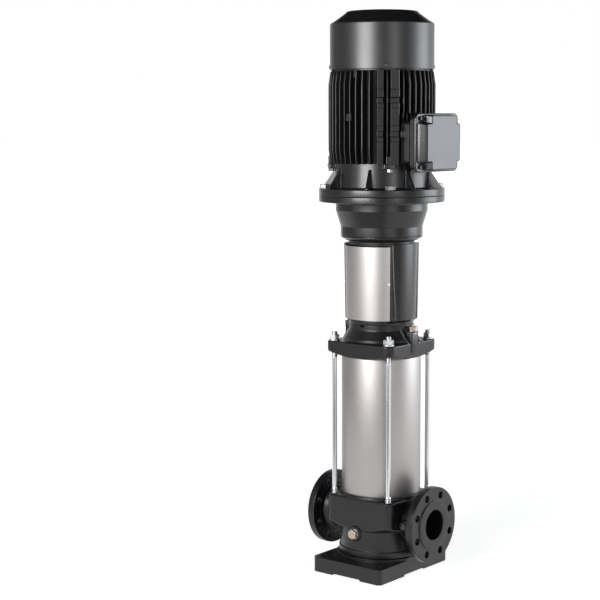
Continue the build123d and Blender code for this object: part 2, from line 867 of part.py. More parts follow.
def guard_screw_places():
    """Where the guards are screwed to the seats of the legs, half-way up."""
    middle = (guard_bottom + guard_top) / 2
    angle = leg_half_angle + leg_seat_angle / 2
    return [
        Rot(0, 0, side + turn * angle) * Pos(guard_radius(middle), 0, middle) * Rot(0, 90, 0)
        for side in (0, 180) for turn in (-1, 1)
    ]


def guard_screw_holes():
    """Threaded holes of the guard screws."""
    return [place * bar(guard_screw_size + 2 * slip_fit, -9, 2) for place in guard_screw_places()]


def guard_screws():
    """Pan head screws that hold the guards."""
    screw = bar(guard_screw_size, -8, slip_fit) + bar(1.2 * guard_screw_size, slip_fit, 2)
    return group([place * screw for place in guard_screw_places()])


def coupling_guard(middle):
    """A curved sheet guard between the two legs, on the side of the given angle."""
    lip_gap = degrees(guard_gap / guard_radius(guard_bottom))
    half = 90 - leg_half_angle - lip_gap
    low = guard_bottom + guard_gap
    high = guard_top - guard_gap
    sheet = sector([
        (guard_radius(low) - guard_thickness, low), (guard_radius(low), low), (guard_radius(high), high),
        (guard_radius(high) - guard_thickness, high),
    ], middle - half, 2 * half)
    return sheet - [place * bar(guard_screw_size + 2 * slip_fit, -9, 4) for place in guard_screw_places()]


def coupling_half(side):
    """One half of the split coupling, clamped on both shafts; side is -1 for the front half."""
    low = coupling_middle - coupling_length / 2
    high = coupling_middle + coupling_length / 2
    outer = coupling_diameter / 2
    chamfered = turned([
        (0, low), (outer - 3, low), (outer, low + 3), (outer, high - 3), (outer - 3, high), (0, high),
    ])
    bore = bar(pump_shaft_diameter + 2 * slip_fit, low - 1, coupling_middle)
    bore += bar(motor_shaft_end + 2 * slip_fit, coupling_middle, high + 1)
    turn = 0 if side > 0 else 180
    half = Rot(0, 0, turn) * block((-outer, outer), (coupling_split / 2, outer), (low, high))
    shape = (chamfered & half) - bore - coupling_screw_holes()
    return shape - coupling_pin_hole()


def coupling_screw_places():
    """The four screws run along Y, two beside each shaft."""
    levels = (coupling_middle - coupling_length / 4, coupling_middle + coupling_length / 4)
    across = (-coupling_screw_place, coupling_screw_place)
    return [Pos(x, 0, z) * Rot(90, 0, 0) for x in across for z in levels]


def coupling_screw_holes():
    """Through holes with a flat seat for each screw head."""
    hole = bar(coupling_screw_size + 2 * slip_fit, -coupling_diameter, coupling_diameter)
    seat = bar(2 * coupling_screw_size, 18, coupling_diameter)
    return [place * (hole + seat) for place in coupling_screw_places()]


def coupling_screws():
    """Socket screws that clamp the two halves."""
    size = coupling_screw_size
    screw = bar(1.6 * size, 18, 18 + size) + bar(size, -18, 18)
    socket = hexagon(0.8 * size, 18 + size / 2, 18 + size + 1)
    return group([place * (screw - socket) for place in coupling_screw_places()])


def coupling_pin_hole():
    """The hole of the pin that sets the pump shaft's height."""
    level = coupling_middle - coupling_length / 8
    hole = bar(coupling_pin_diameter + 2 * slip_fit, -pump_shaft_diameter, pump_shaft_diameter)
    return Pos(0, 0, level) * Rot(0, 90, 0) * hole


def coupling_pin():
    """The cross pin of the pump shaft."""
    level = coupling_middle - coupling_length / 8
    length = pump_shaft_diameter / 2 + 5
    return Pos(0, 0, level) * Rot(0, 90, 0) * bar(coupling_pin_diameter, -length, length)


def drive_end_shield():
    """The motor's lower shield: the flange, a ribbed bell, four lugs and the bearing seat."""
    rim = motor_flange_diameter / 2
    spigot = motor_spigot_diameter / 2
    bell = shield_diameter / 2
    inner = bell - shield_wall
    seat = bearing_diameter / 2 + slip_fit
    hub = seat + 9
    web = flange_top - 12
    shaft_hole = motor_shaft_seat / 2 + 2
    pilot = motor_face - motor_spigot_height
    shape = turned([
        (shaft_hole, pilot + 4), (spigot - 20, pilot + 4), (spigot - 20, pilot), (spigot, pilot),
        (spigot, motor_face), (rim, motor_face), (rim, flange_top), (bell + 1, flange_top),
        (bell, frame_bottom),
        (inner, frame_bottom), (inner, flange_top), (hub, flange_top), (hub, web + 8 + bearing_width),
        (seat, web + 8 + bearing_width), (seat, web + 8), (shaft_hole, web + 8),
    ])
    rib = extrude(outline([
        (inner + 4, flange_top - 2), (rim - 5, flange_top - 2), (rim - 5, flange_top + 3),
        (bell + 1, frame_bottom - 14), (inner + 4, frame_bottom - 14),
    ]), shield_rib / 2, both=True)
    half = shield_lug_width / 2
    reach = shield_bolt_circle / 2 + 1.1 * shield_bolt_size
    lug = block((inner + 2, reach), (-half, half), (frame_bottom - shield_lug_height, frame_bottom))
    shape += around(rib, shield_rib_count, 180 / shield_rib_count)
    shape += around(lug, 4, 45)
    bolt = bar(motor_bolt_size + 2 * bolt_play, motor_face - 1, flange_top + 30)
    lug_bolt = bar(shield_bolt_size + 2 * slip_fit, frame_bottom - 30, frame_bottom + 1)
    shape -= around(Pos(motor_bolt_circle / 2, 0, 0) * bolt, 4, 45)
    return shape - around(Pos(shield_bolt_circle / 2, 0, 0) * lug_bolt, 4, 45)


def motor_flange_bolts():
    """Four bolts of the motor flange, into the stool."""
    bolt = hex_screw(motor_bolt_size, motor_flange_thickness + stool_flange_thickness - 1, 10, 24)
    return group(around(Pos(motor_bolt_circle / 2, 0, flange_top) * bolt, 4, 45))


def fin():
    """One cooling fin along the frame, lower at both ends."""
    root = barrel_diameter / 2 - 2
    tip = fin_diameter / 2
    low, high = frame_bottom, frame_top
    profile = [
        (root, low), (tip - fin_end_drop, low), (tip, low + fin_end_length), (tip, high - fin_end_length),
        (tip - fin_end_drop, high), (root, high),
    ]
    return extrude(outline(profile), fin_thickness / 2, both=True)


def foot_strips():
    """The pair of machined strips on one corner of the frame, with raised pads for optional feet."""
    root = barrel_diameter / 2 - 4
    half = foot_strip_width / 2
    shapes = []
    for side in (-foot_strip_offset, foot_strip_offset):
        across = (side - half, side + half)
        shapes.append(block((root, foot_strip_reach), across, (frame_bottom, frame_top)))
        for low, high in ((0.25, 0.32), (0.37, 0.44), (0.62, 0.68), (0.73, 0.81)):
            span = (frame_bottom + low * frame_height, frame_bottom + high * frame_height)
            shapes.append(block((root, foot_strip_reach + foot_pad_raise), across, span))
    return shapes


def motor_frame():
    """The finned motor frame with its foot strips, terminal box seat and earth boss."""
    barrel = ring(barrel_diameter - 2 * barrel_wall, barrel_diameter, frame_bottom, frame_top)
    shape = barrel + around(fin(), fin_count)
    strips = []
    for turn in (45, 135, 225, 315):
        strips += [Rot(0, 0, turn) * strip for strip in foot_strips()]
    shape += strips
    half = box_neck_width / 2
    rise = box_neck_height / 2
    seat = block((barrel_diameter / 2 - 20, box_seat), (-half, half), (box_level - rise, box_level + rise))
    root = barrel_diameter / 2 - 4
    lower_boss = block((root, fin_diameter / 2 + 1), (-10, 10), (frame_bottom, frame_bottom + 20))
    upper_boss = block((root, top_bolt_circle / 2 + 8), (-9, 9), (frame_top - 18, frame_top))
    shape += around(lower_boss, 4, 45)
    shape += around(upper_boss, 4)
    shape += seat
    reach = box_rim_height / 2 + 6
    across = (-box_rim_width / 2, box_rim_width / 2)
    shape -= block((box_seat, port_to_port), across, (box_level - reach, box_level + reach))
    shape -= bar(barrel_diameter - 2 * barrel_wall, frame_bottom - 1, frame_top + 1)
    earth = block((barrel_diameter / 2 - 2, fin_diameter / 2 - 2), (-7, 7), (box_level + 56, box_level + 76))
    shape += Rot(0, 0, -90 - 180 / fin_count) * earth
    tapped = shield_bolt_size + 2 * slip_fit
    lower_hole = Pos(shield_bolt_circle / 2, 0, 0) * bar(tapped, frame_bottom - 1, frame_bottom + 16)
    upper_hole = Pos(top_bolt_circle / 2, 0, 0) * bar(tapped, frame_top - 16, frame_top + 1)
    shape -= around(lower_hole, 4, 45)
    return shape - around(upper_hole, 4)


def end_shield_bolts():
    """Bolts of both end shields, into the frame."""
    lower = Rot(180, 0, 0) * hex_screw(shield_bolt_size, shield_lug_height + 13, 8)
    upper = hex_screw(shield_bolt_size, top_shield_height / 2 + 13, 6)
    shapes = around(Pos(shield_bolt_circle / 2, 0, frame_bottom - shield_lug_height) * lower, 4, 45)
    shapes += around(Pos(top_bolt_circle / 2, 0, frame_top + top_shield_height / 2) * upper, 4)
    return group(shapes)


def cover_screw_places():
    """Four screws of the fan cover, at the corners between the ports."""
    level = cover_bottom + 10
    return [Rot(0, 0, 45 + 90 * i) * Pos(fan_cover_diameter / 2, 0, level) * Rot(0, 90, 0) for i in range(4)]


def non_drive_end_shield():
    """The motor's upper shield, under the fan cover, with lugs for the cover's screws."""
    rim = top_shield_diameter / 2
    seat = bearing_diameter / 2 + slip_fit
    shaft_hole = motor_shaft_seat / 2 + 2
    low = frame_top
    high = low + top_shield_height
    pocket = low + 2 - bearing_width
    shape = turned([
        (seat, pocket), (seat + 9, pocket), (seat + 9, low), (rim, low), (rim, low + top_shield_height / 2),
        (rim - 12, high), (shaft_hole, high), (shaft_hole, low + 2), (seat, low + 2),
    ])
    inside = fan_cover_diameter - 2 * fan_cover_wall - 2 * slip_fit
    lug = block((rim - 20, inside), (-13, 13), (low, low + fan_cover_gap + 18)) & bar(inside, low, low + 40)
    shape += around(lug, 4, 45)
    bolt = Pos(top_bolt_circle / 2, 0, 0)
    shape -= around(bolt * bar(shield_bolt_size + 2 * slip_fit, low - 1, low + 40), 4)
    shape -= around(bolt * bar(2 * shield_bolt_size + 3, low + top_shield_height / 2, low + 60), 4)
    return shape - [place * bar(cover_screw_size + 2 * slip_fit, -16, 2) for place in cover_screw_places()]


def stator_core():
    """The laminated stator, a slip fit in the barrel."""
    outer = barrel_diameter - 2 * barrel_wall - 2 * slip_fit
    return ring(stator_bore, outer, core_middle - core_length / 2, core_middle + core_length / 2)


def stator_windings():
    """The two end windings, on the faces of the stator core."""
    inner = stator_bore / 2 + 8
    outer = barrel_diameter / 2 - barrel_wall - 8
    low = core_middle + core_length / 2
    head = turned([
        (inner, low), (outer, low), (outer - 4, low + winding_length), (inner + 4, low + winding_length),
    ])
    return group([head, Pos(0, 0, 2 * core_middle) * Rot(180, 0, 0) * head])


def rotor_core():
    """The cage rotor with its end rings and cooling lugs."""
    half = core_length / 2
    rim = stator_bore / 2 - air_gap
    bore = motor_shaft_core / 2 + slip_fit
    return turned([
        (bore, core_middle - half), (rim - 24, core_middle - half), (rim - 24, core_middle - half - 12),
        (rim - 2, core_middle - half - 12), (rim - 2, core_middle - half), (rim, core_middle - half),
        (rim, core_middle + half), (rim - 2, core_middle + half), (rim - 2, core_middle + half + 12),
        (rim - 24, core_middle + half + 12), (rim - 24, core_middle + half), (bore, core_middle + half),
    ])


def bearing_levels():
    """The lower face of the lower and of the upper bearing."""
    return flange_top - 4, frame_top + 2 - bearing_width


def bearing_outer_rings():
    """Outer rings of the two sealed ball bearings, with their shields."""
    outer = bearing_diameter / 2
    inner = motor_shaft_seat / 2 + 8
    rings = []
    for low in bearing_levels():
        high = low + bearing_width
        rings.append(turned([
            (inner + running_fit, low + 1), (outer - 8, low + 1), (outer - 8, low), (outer, low),
            (outer, high), (outer - 8, high), (outer - 8, high - 1), (inner + running_fit, high - 1),
        ]))
    return group(rings)


def bearing_inner_rings():
    """Inner rings of the two bearings, on the motor shaft."""
    bore = motor_shaft_seat + 2 * slip_fit
    return group([ring(bore, motor_shaft_seat + 16, low, low + bearing_width) for low in bearing_levels()])


def motor_shaft():
    """The motor shaft, stepped for coupling, bearings, rotor and fan."""
    lower, upper = bearing_levels()
    end = motor_face - motor_shaft_end_length
    core = core_middle - core_length / 2 - 14
    core_top = core_middle + core_length / 2
    fan_top = fan_level() + fan_width
    sections = (
        (motor_shaft_end, end, motor_face), (motor_shaft_seat, motor_face, lower + bearing_width),
        (motor_shaft_core, lower + bearing_width, core_top), (motor_shaft_core - 2, core_top, upper),
        (motor_shaft_seat, upper, fan_level()), (motor_shaft_end - 4, fan_level(), fan_top),
    )
    shaft = bar(motor_shaft_core + 6, core, core_middle - core_length / 2)
    for diameter, low, high in sections:
        shaft += bar(diameter, low, high)
    return shaft


def fan_level():
    """The bottom of the fan, above the upper shield."""
    return frame_top + top_shield_height + 10


def fan():
    """The radial fan: a hub, a plate and straight blades that work in both directions."""
    low = fan_level()
    hub = ring(motor_shaft_end - 4 + 2 * slip_fit, fan_hub, low, low + fan_width - 4)
    plate = ring(fan_hub - 2, fan_diameter - 30, low, low + fan_plate)
    across = (-fan_blade / 2, fan_blade / 2)
    blade = block((fan_hub / 2 - 1, fan_diameter / 2), across, (low, low + fan_width))
    return hub + plate + around(blade, fan_blade_count)


def fan_cover():
    """The fan cover: a deep skirt, a coned shoulder and a slotted crown."""
    rim = fan_cover_diameter / 2
    crown = fan_cover_crown_diameter / 2
    wall = fan_cover_wall
    shoulder = cover_shoulder + fan_cover_shoulder
    cone_top = shoulder + fan_cover_cone
    outside = [
        (rim, cover_bottom), (rim, cover_shoulder), (rim - 2.5, cover_shoulder + 0.75 * fan_cover_shoulder),
        (rim - 8, shoulder), (crown + 3, cone_top), (crown, cover_top), (0, cover_top),
    ]
    inside = [
        (0, cover_top - wall), (crown - wall, cover_top - wall), (crown + 1, cone_top - wall),
        (rim - 9, shoulder - wall), (rim - wall, cover_shoulder), (rim - wall, cover_bottom),
    ]
    shape = turned(outside + inside)
    half = grille_slot_width / 2
    depth = (cover_top - 8, cover_top + 1)
    slot = block((grille_slot_inner, grille_slot_outer), (-half, half), depth)
    inner_slot = block((grille_slot_inner / 4, grille_slot_inner - 5), (-half, half), depth)
    shape -= around(slot, grille_slot_count)
    shape -= around(inner_slot, grille_slot_count // 4)
    return shape - [place * bar(cover_screw_size + 2 * slip_fit, -9, 4) for place in cover_screw_places()]


def fan_cover_screws():
    """Pan head screws of the fan cover."""
    screw = bar(cover_screw_size, -13, 0.5) + bar(2 * cover_screw_size, 0.5, 4)
    return group([place * screw for place in cover_screw_places()])


def box_slab(width, height, low, high, radius):
    """A rounded slab on the terminal box's axis, between two X places."""
    sketch = RectangleRounded(width, height, radius)
    return box_axis * extrude(Pos(0, 0, low) * sketch, high - low)


def entry_places():
    """Cable entries on the underside of the terminal box, with local +Z pointing down."""
    middle = (box_seat + box_face) / 2 + 3
    low = box_level - box_rim_height / 2
    return [Pos(middle, side * entry_place, low) * Rot(180, 0, 0) for side in (-1, 1)]


def terminal_box_base():
    """The box base: a neck on the frame, a wider rim, and two cable entry bosses below."""
    shape = box_slab(box_neck_width, box_neck_height, box_seat, box_face, 8)
    shape += box_slab(box_rim_width, box_rim_height, box_rim_start, box_face, 12)
    boss = bar(entry_boss, -20, 0) & block((-box_seat, box_seat), (-60, 60), (-20, 0))
    bosses = [place * boss for place in entry_places()]
    room = block((box_seat, box_face), (-box_rim_width, box_rim_width), (0, 2 * box_level))
    shape += [piece & room for piece in bosses]
    room = (box_neck_width - 2 * box_wall, box_neck_height - 2 * box_wall)
    shape -= box_slab(*room, box_seat + box_wall, box_face + 1, 5)
    return shape - [place * bar(entry_size + 2 * slip_fit, -30, 1) for place in entry_places()]


def terminal_box_gasket():
    """The flat gasket under the lid."""
    outer = box_slab(box_rim_width, box_rim_height, box_face, box_face + box_gasket, 12)
    wall = 2 * box_wall + 4
    low = box_face - 1
    high = box_face + box_gasket + 1
    inner = box_slab(box_neck_width - wall, box_neck_height - wall, low, high, 5)
    return outer - inner - lid_screw_bores(low, high, lid_screw_size + 2 * bolt_play)


def lid_screw_bores(low, high, diameter):
    """Round bars at the four lid screws, between two X places."""
    across = box_neck_width + 2
    rise = box_rim_height - 14
    places = GridLocations(across, rise, 2, 2)
    return [box_axis * place * bar(diameter, low, high) for place in places]


def terminal_box_lid():
    """The lid: a flat rim and a raised, drafted middle with a screw pocket in each corner."""
    low = box_face + box_gasket
    rim = box_slab(lid_width, lid_height, low, low + lid_thickness, lid_corner_radius)
    base = RectangleRounded(lid_raise_width, lid_raise_height, lid_corner_radius)
    raised = box_axis * extrude(
        Pos(0, 0, low + lid_thickness) * base, lid_raise, taper=lid_draft)
    for side in (-1, 1):
        for rise in (-1, 1):
            corner = Pos(low + lid_thickness + 50, side * lid_width / 2, box_level + rise * lid_height / 2)
            raised -= corner * Box(100, 2 * lid_pocket_width + 6, 2 * lid_pocket_height + 6)
    shape = rim + raised
    room = (box_neck_width - 6 * box_wall, box_neck_height - 6 * box_wall)
    shape -= box_slab(*room, low - 1, low + lid_raise, 5)
    return shape - lid_screw_bores(low - 1, low + lid_thickness + 30, lid_screw_size + 2 * bolt_play)


def lid_screws():
    """Screws in the pockets of the lid."""
    low = box_face + box_gasket + lid_thickness
    heads = lid_screw_bores(low, low + 5, 1.7 * lid_screw_size)
    shanks = lid_screw_bores(box_face - 12, low, lid_screw_size)
    return group([head + shank for head, shank in zip(heads, shanks)])


def terminal_block():
    """The terminal board on the box floor, with its six studs."""
    floor = box_seat + box_wall
    board = box_axis * extrude(Pos(0, 0, floor) * Rectangle(70, 50), 10)
    studs = [box_axis * place * bar(6, floor + 9, floor + 28) for place in GridLocations(24, 26, 3, 2)]
    return board + studs


def cable_entry_plugs():
    """Hexagon plugs that close the cable entries."""
    plug = hexagon(1.15 * entry_size, 0, 6) + bar(entry_size, -7, 0)
    return group([place * plug for place in entry_places()])


def box_screw_holes():
    """Blind holes for the lid screws in the box rim."""
    return lid_screw_bores(box_face - 13, box_face + 1, lid_screw_size + 2 * slip_fit)


nodes = {
    "base_plate": base_plate(),
    "base_plate_screws": base_plate_screws(),
    "pump_base": pump_base(),
    "drain_plug": drain_plug(),
    "port_plugs": port_plugs(),
    "outer_sleeve": outer_sleeve(),
    "sleeve_seals": sleeve_seals(),
    "tie_rods": tie_rods(),
    "tie_rod_washers": tie_rod_washers(),
    "tie_rod_nuts": tie_rod_nuts(),
    "inlet_ring": inlet_ring(),
    "neck_rings": neck_rings(),
    "stage_bushes": stage_bushes(),
    "impeller_spacers": impeller_spacers(),
    "impeller_nut": impeller_nut(),
    "pump_shaft": pump_shaft(),
    "top_guide": top_guide(),
    "pump_head": pump_head(),
    "priming_plug": priming_plug(),
    "vent_screw": vent_screw(),
    "seal_carrier": seal_carrier(),
    "seal_stationary_ring": seal_stationary_ring(),
    "seal_rotating_ring": seal_rotating_ring(),
    "head_screws": head_screws(),
    "motor_stool": motor_stool(),
    "front_coupling_guard": coupling_guard(-90),
    "rear_coupling_guard": coupling_guard(90),
    "guard_screws": guard_screws(),
    "coupling_front_half": coupling_half(-1),
    "coupling_rear_half": coupling_half(1),
    "coupling_screws": coupling_screws(),
    "coupling_pin": coupling_pin(),
    "drive_end_shield": drive_end_shield(),
    "motor_flange_bolts": motor_flange_bolts(),
    "motor_frame": motor_frame(),
    "end_shield_bolts": end_shield_bolts(),
    "non_drive_end_shield": non_drive_end_shield(),
    "stator_core": stator_core(),
    "stator_windings": stator_windings(),
    "rotor_core": rotor_core(),
    "bearing_outer_rings": bearing_outer_rings(),
    "bearing_inner_rings": bearing_inner_rings(),
    "motor_shaft": motor_shaft(),
    "fan": fan(),
    "fan_cover": fan_cover(),
    "fan_cover_screws": fan_cover_screws(),
    "terminal_box_base": terminal_box_base() - box_screw_holes(),
    "terminal_box_gasket": terminal_box_gasket(),
    "terminal_box_lid": terminal_box_lid(),
    "lid_screws": lid_screws(),
    "terminal_block": terminal_block(),
    "cable_entry_plugs": cable_entry_plugs(),
}
for index in range(stage_count):
    nodes[f"stage_chamber_{index + 1}"] = stage_chamber(index)
    nodes[f"impeller_{index + 1}"] = impeller(index)

for name, shape in nodes.items():
    export_step(shape, f"parts/{name}.step")
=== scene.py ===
import json
from math import acos, atan2, cos, pi, radians, sin, sqrt, tan

import bmesh
import bpy
import numpy as np
from bpy.props import FloatProperty, FloatVectorProperty, IntProperty, PointerProperty
from bpy.types import Operator, Panel, PropertyGroup
from mathutils import Matrix, Vector


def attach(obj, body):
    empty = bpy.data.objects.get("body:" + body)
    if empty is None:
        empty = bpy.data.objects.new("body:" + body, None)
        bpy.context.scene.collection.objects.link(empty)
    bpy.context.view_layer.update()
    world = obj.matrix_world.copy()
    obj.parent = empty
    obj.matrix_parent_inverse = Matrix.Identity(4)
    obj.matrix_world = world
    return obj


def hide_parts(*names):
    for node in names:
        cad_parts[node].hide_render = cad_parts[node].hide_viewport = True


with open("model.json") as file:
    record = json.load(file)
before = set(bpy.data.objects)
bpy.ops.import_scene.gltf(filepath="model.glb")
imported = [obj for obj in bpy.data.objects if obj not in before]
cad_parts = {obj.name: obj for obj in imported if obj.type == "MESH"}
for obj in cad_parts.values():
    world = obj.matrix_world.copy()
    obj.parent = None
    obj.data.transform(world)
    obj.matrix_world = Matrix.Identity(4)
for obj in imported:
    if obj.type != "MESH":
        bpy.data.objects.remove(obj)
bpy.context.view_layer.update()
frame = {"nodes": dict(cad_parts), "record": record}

bl_info = {
    "name": "Vertical multistage pump",
    "version": (1, 0, 0),
    "blender": (4, 5, 0),
    "location": "3D View > Sidebar > Pump",
    "description": "Visible pieces, finishes and stage of a vertical multistage pump",
    "category": "Add Mesh",
}


# Properties

def length(label, text, millimetres):
    """A length, given here in millimetres and kept in metres."""
    return FloatProperty(name=label, description=text, default=millimetres / 1000, unit="LENGTH",
                         precision=4)


def tint(label, text, colour):
    """A colour with three channels between 0 and 1."""
    return FloatVectorProperty(name=label, description=text, default=colour, subtype="COLOR", size=3,
                               min=0, max=1)


def share(label, text, value):
    """A plain number between 0 and 1."""
    return FloatProperty(name=label, description=text, default=value, min=0, max=1, subtype="FACTOR")


def tilt(label, text, value):
    """An angle in radians."""
    return FloatProperty(name=label, description=text, default=value, subtype="ANGLE")


class PumpBaseSizes(PropertyGroup):
    """Sizes of the base casting and its ports."""
    foot: length("Foot radius", "Radius of the round foot flange", 112)
    foot_bottom: length("Foot level", "Height of the underside of the foot flange", 47)
    foot_height: length("Foot height", "Thickness of the foot flange", 17)
    body: length("Body radius", "Radius of the round body", 109)
    block: length("Block half width", "Half the width of the square block at its foot", 107.5)
    corner: length("Block corner", "Corner radius of the square block", 22)
    block_top: length("Block top", "Height of the top of the block", 203)
    port_level: length("Port level", "Height of the port axis", 140)
    port_bore: length("Port bore", "Radius of the port bore", 40)
    port_face: length("Port face", "Distance of the sealing face from the shaft axis", 175)
    port_flange: length("Port flange", "Radius of the port flange", 100)
    suction_hole: length("Suction bolt hole", "Radius of a bolt hole of the suction flange", 9)
    discharge_hole: length("Discharge bolt hole", "Radius of a bolt hole of the discharge flange", 9.5)


class PumpSleeveSizes(PropertyGroup):
    """Sizes of the sleeve and of the tie rods."""
    sleeve: length("Sleeve radius", "Outer radius of the sleeve", 105)
    wall: length("Sleeve wall", "Thickness of the sleeve", 2)
    bottom: length("Sleeve bottom", "Height of the sleeve's lower edge", 206)
    top: length("Sleeve top", "Height of the sleeve's upper edge", 582)
    rod_circle: length("Rod circle", "Distance of the rods from the shaft axis", 125)
    rod: length("Rod radius", "Radius of a rod's shank", 6.5)
    thread: length("Thread radius", "Radius of a rod's threaded ends", 8)
    pitch: length("Thread pitch", "Rise of the thread in one turn", 2)
    nut: length("Nut size", "Width across the flats of a rod nut", 24)


class PumpHeadSizes(PropertyGroup):
    """Sizes of the head casting and its plugs."""
    half: length("Plate half width", "Half the width of the square plate", 107.5)
    corner: length("Plate corner", "Corner radius of the square plate", 22)
    bottom: length("Skirt level", "Height of the skirt's lower edge", 577)
    top: length("Plate top", "Height of the plate's upper face", 617)
    neck: length("Neck radius", "Radius of the round neck", 85)
    neck_top: length("Neck top", "Height of the neck's upper face", 663)
    boss: length("Boss radius", "Radius of the two plug bosses", 15.5)
    boss_place: length("Boss place", "Distance of the bosses from the shaft axis", 102.5)
    boss_top: length("Boss top", "Height of the boss faces", 647)


class PumpStoolSizes(PropertyGroup):
    """Sizes of the motor stool and of the coupling guards."""
    bottom: length("Foot level", "Height of the foot ring's underside", 663)
    ring_top: length("Ring top", "Height of the foot ring's upper face", 676)
    window_top: length("Window top", "Height of the windows' upper edge", 869)
    guard_low: length("Guard radius below", "Outer radius of the guards at their lower edge", 93.5)
    guard_high: length("Guard radius above", "Outer radius of the guards at their upper edge", 96.5)
    guard_wall: length("Guard wall", "Thickness of the guards", 1.2)
    waist: length("Waist radius", "Radius of the waist below the cone", 108)
    shoulder: length("Shoulder radius", "Radius of the shoulder above the cone", 121)
    flange: length("Flange radius", "Radius of the motor flange", 165)
    face: length("Flange face", "Height of the motor flange's upper face", 1000)


class PumpMotorSizes(PropertyGroup):
    """Sizes of the motor's shield, frame and fan cover."""
    flange: length("Flange radius", "Radius of the motor flange", 165)
    flange_bottom: length("Flange bottom", "Height of the motor flange's lower face", 1000)
    flange_top: length("Flange top", "Height of the motor flange's upper face", 1019)
    bell: length("Bell radius", "Radius of the lower shield", 124.5)
    frame_bottom: length("Frame bottom", "Height of the frame's lower end", 1083)
    frame_top: length("Frame top", "Height of the frame's upper end", 1320)
    barrel: length("Barrel radius", "Radius of the frame between the fins", 114)
    fin: length("Fin radius", "Radius of the fin tips", 139.5)
    fin_tip: length("Fin tip", "Thickness of a fin at its tip", 3.4)
    fin_root: length("Fin root", "Thickness of a fin at its root", 4.6)
    fins: IntProperty(name="Fins", description="Number of fin places round the frame", default=48,
                      min=24, max=72)
    strip: length("Strip reach", "Reach of the foot strips from the shaft axis", 144)
    cover: length("Cover radius", "Outer radius of the fan cover", 135.5)
    cover_bottom: length("Cover bottom", "Height of the fan cover's lower edge", 1325)
    cover_top: length("Cover top", "Height of the fan cover's crown", 1474)
    crown: length("Crown radius", "Radius of the slotted crown", 91)


class PumpBoxSizes(PropertyGroup):
    """Sizes of the terminal box."""
    level: length("Box level", "Height of the box's middle", 1137.5)
    seat: length("Box seat", "Distance of the box's seat from the shaft axis", 118)
    face: length("Box face", "Distance of the box's open face from the shaft axis", 165)
    lid: length("Lid thickness", "Thickness of the lid's rim", 8)
    lid_reach: length("Lid reach", "Distance of the lid's outer face from the shaft axis", 198)


class PumpFinishes(PropertyGroup):
    """Colours and gloss of the finishes."""
    paint: tint("Paint", "Black coating of the castings", (0.0105, 0.0105, 0.0115))
    paint_gloss: share("Paint roughness", "Roughness of the coating on castings", 0.34)
    sheet_gloss: share("Sheet roughness", "Roughness of the coating on sheet steel", 0.27)
    stainless: tint("Stainless", "Brushed stainless sheet", (0.63, 0.6, 0.585))
    zinc: tint("Zinc", "Zinc plated fasteners", (0.84, 0.85, 0.85))
    rod: tint("Rod", "Ground steel rods", (0.72, 0.73, 0.75))
    plug: tint("Plug", "Turned steel plugs", (0.5, 0.43, 0.39))


class PumpStage(PropertyGroup):
    """Camera, room and floor."""
    focal: FloatProperty(name="Focal length", description="Camera focal length on a 36 mm sensor",
                         default=91.4701)
    distance: length("Camera distance", "Level distance of the camera from the shaft", 4016.47)
    height: length("Camera height", "Height of the camera above the floor", 1195.56)
    around: tilt("Camera direction", "Turn of the camera about the shaft", 0.6355839763)
    pitch: tilt("Camera pitch", "Downward tilt of the camera", 0.1174720765)
    yaw: tilt("Camera yaw", "Sideways turn of the camera", 0.0537253546)
    roll: tilt("Camera roll", "Roll of the camera", 0.0036712515)
    room: share("Room light", "Brightness of the studio round the object", 0.2)
    floor: tint("Floor", "Colour of the floor", (0.8, 0.8, 0.8))


def millimetres(settings):
    """The lengths of a property group in millimetres, as attributes of a plain object."""
    class Sizes:
        pass
    sizes = Sizes()
    for name, prop in settings.bl_rna.properties.items():
        if prop.type == "FLOAT" and prop.unit == "LENGTH":
            setattr(sizes, name, 1000 * getattr(settings, name))
    return sizes


# Surfaces, all in millimetres

class Surface:
    """Points in millimetres and the quads between them."""

    def __init__(self, points, quads):
        self.points = np.asarray(points, float)
        self.quads = np.asarray(quads, int)

    @classmethod
    def grid(cls, points, rows=False, columns=True):
        """Quads between neighbours of a grid; rows and columns say if the last line joins the first."""
        points = np.asarray(points, float)
        numbers = np.arange(points.shape[0] * points.shape[1]).reshape(points.shape[:2])
        if rows:
            numbers = np.vstack((numbers, numbers[:1]))
        if columns:
            numbers = np.hstack((numbers, numbers[:, :1]))
        corners = (numbers[:-1, :-1], numbers[:-1, 1:], numbers[1:, 1:], numbers[1:, :-1])
        return cls(points.reshape(-1, 3), np.stack(corners, axis=-1).reshape(-1, 4))

    def __add__(self, other):
        quads = np.vstack((self.quads, other.quads + len(self.points)))
        return Surface(np.vstack((self.points, other.points)), quads)

    def moved(self, x=0.0, y=0.0, z=0.0):
        """The surface, shifted."""
        return Surface(self.points + np.array((x, y, z)), self.quads)

    def turned(self, axis, angle):
        """The surface, turned about an axis through the origin by degrees."""
        matrix = np.array(Matrix.Rotation(radians(angle), 3, axis))
        return Surface(self.points @ matrix.T, self.quads)

    def around(self, count, first=0.0):
        """Copies at equal angles about Z, the first one turned by first degrees."""
        return joined(self.turned("Z", first + 360 / count * i) for i in range(count))


def joined(surfaces):
    """Several surfaces as one."""
    surfaces = list(surfaces)
    whole = surfaces[0]
    for surface in surfaces[1:]:
        whole = whole + surface
    return whole


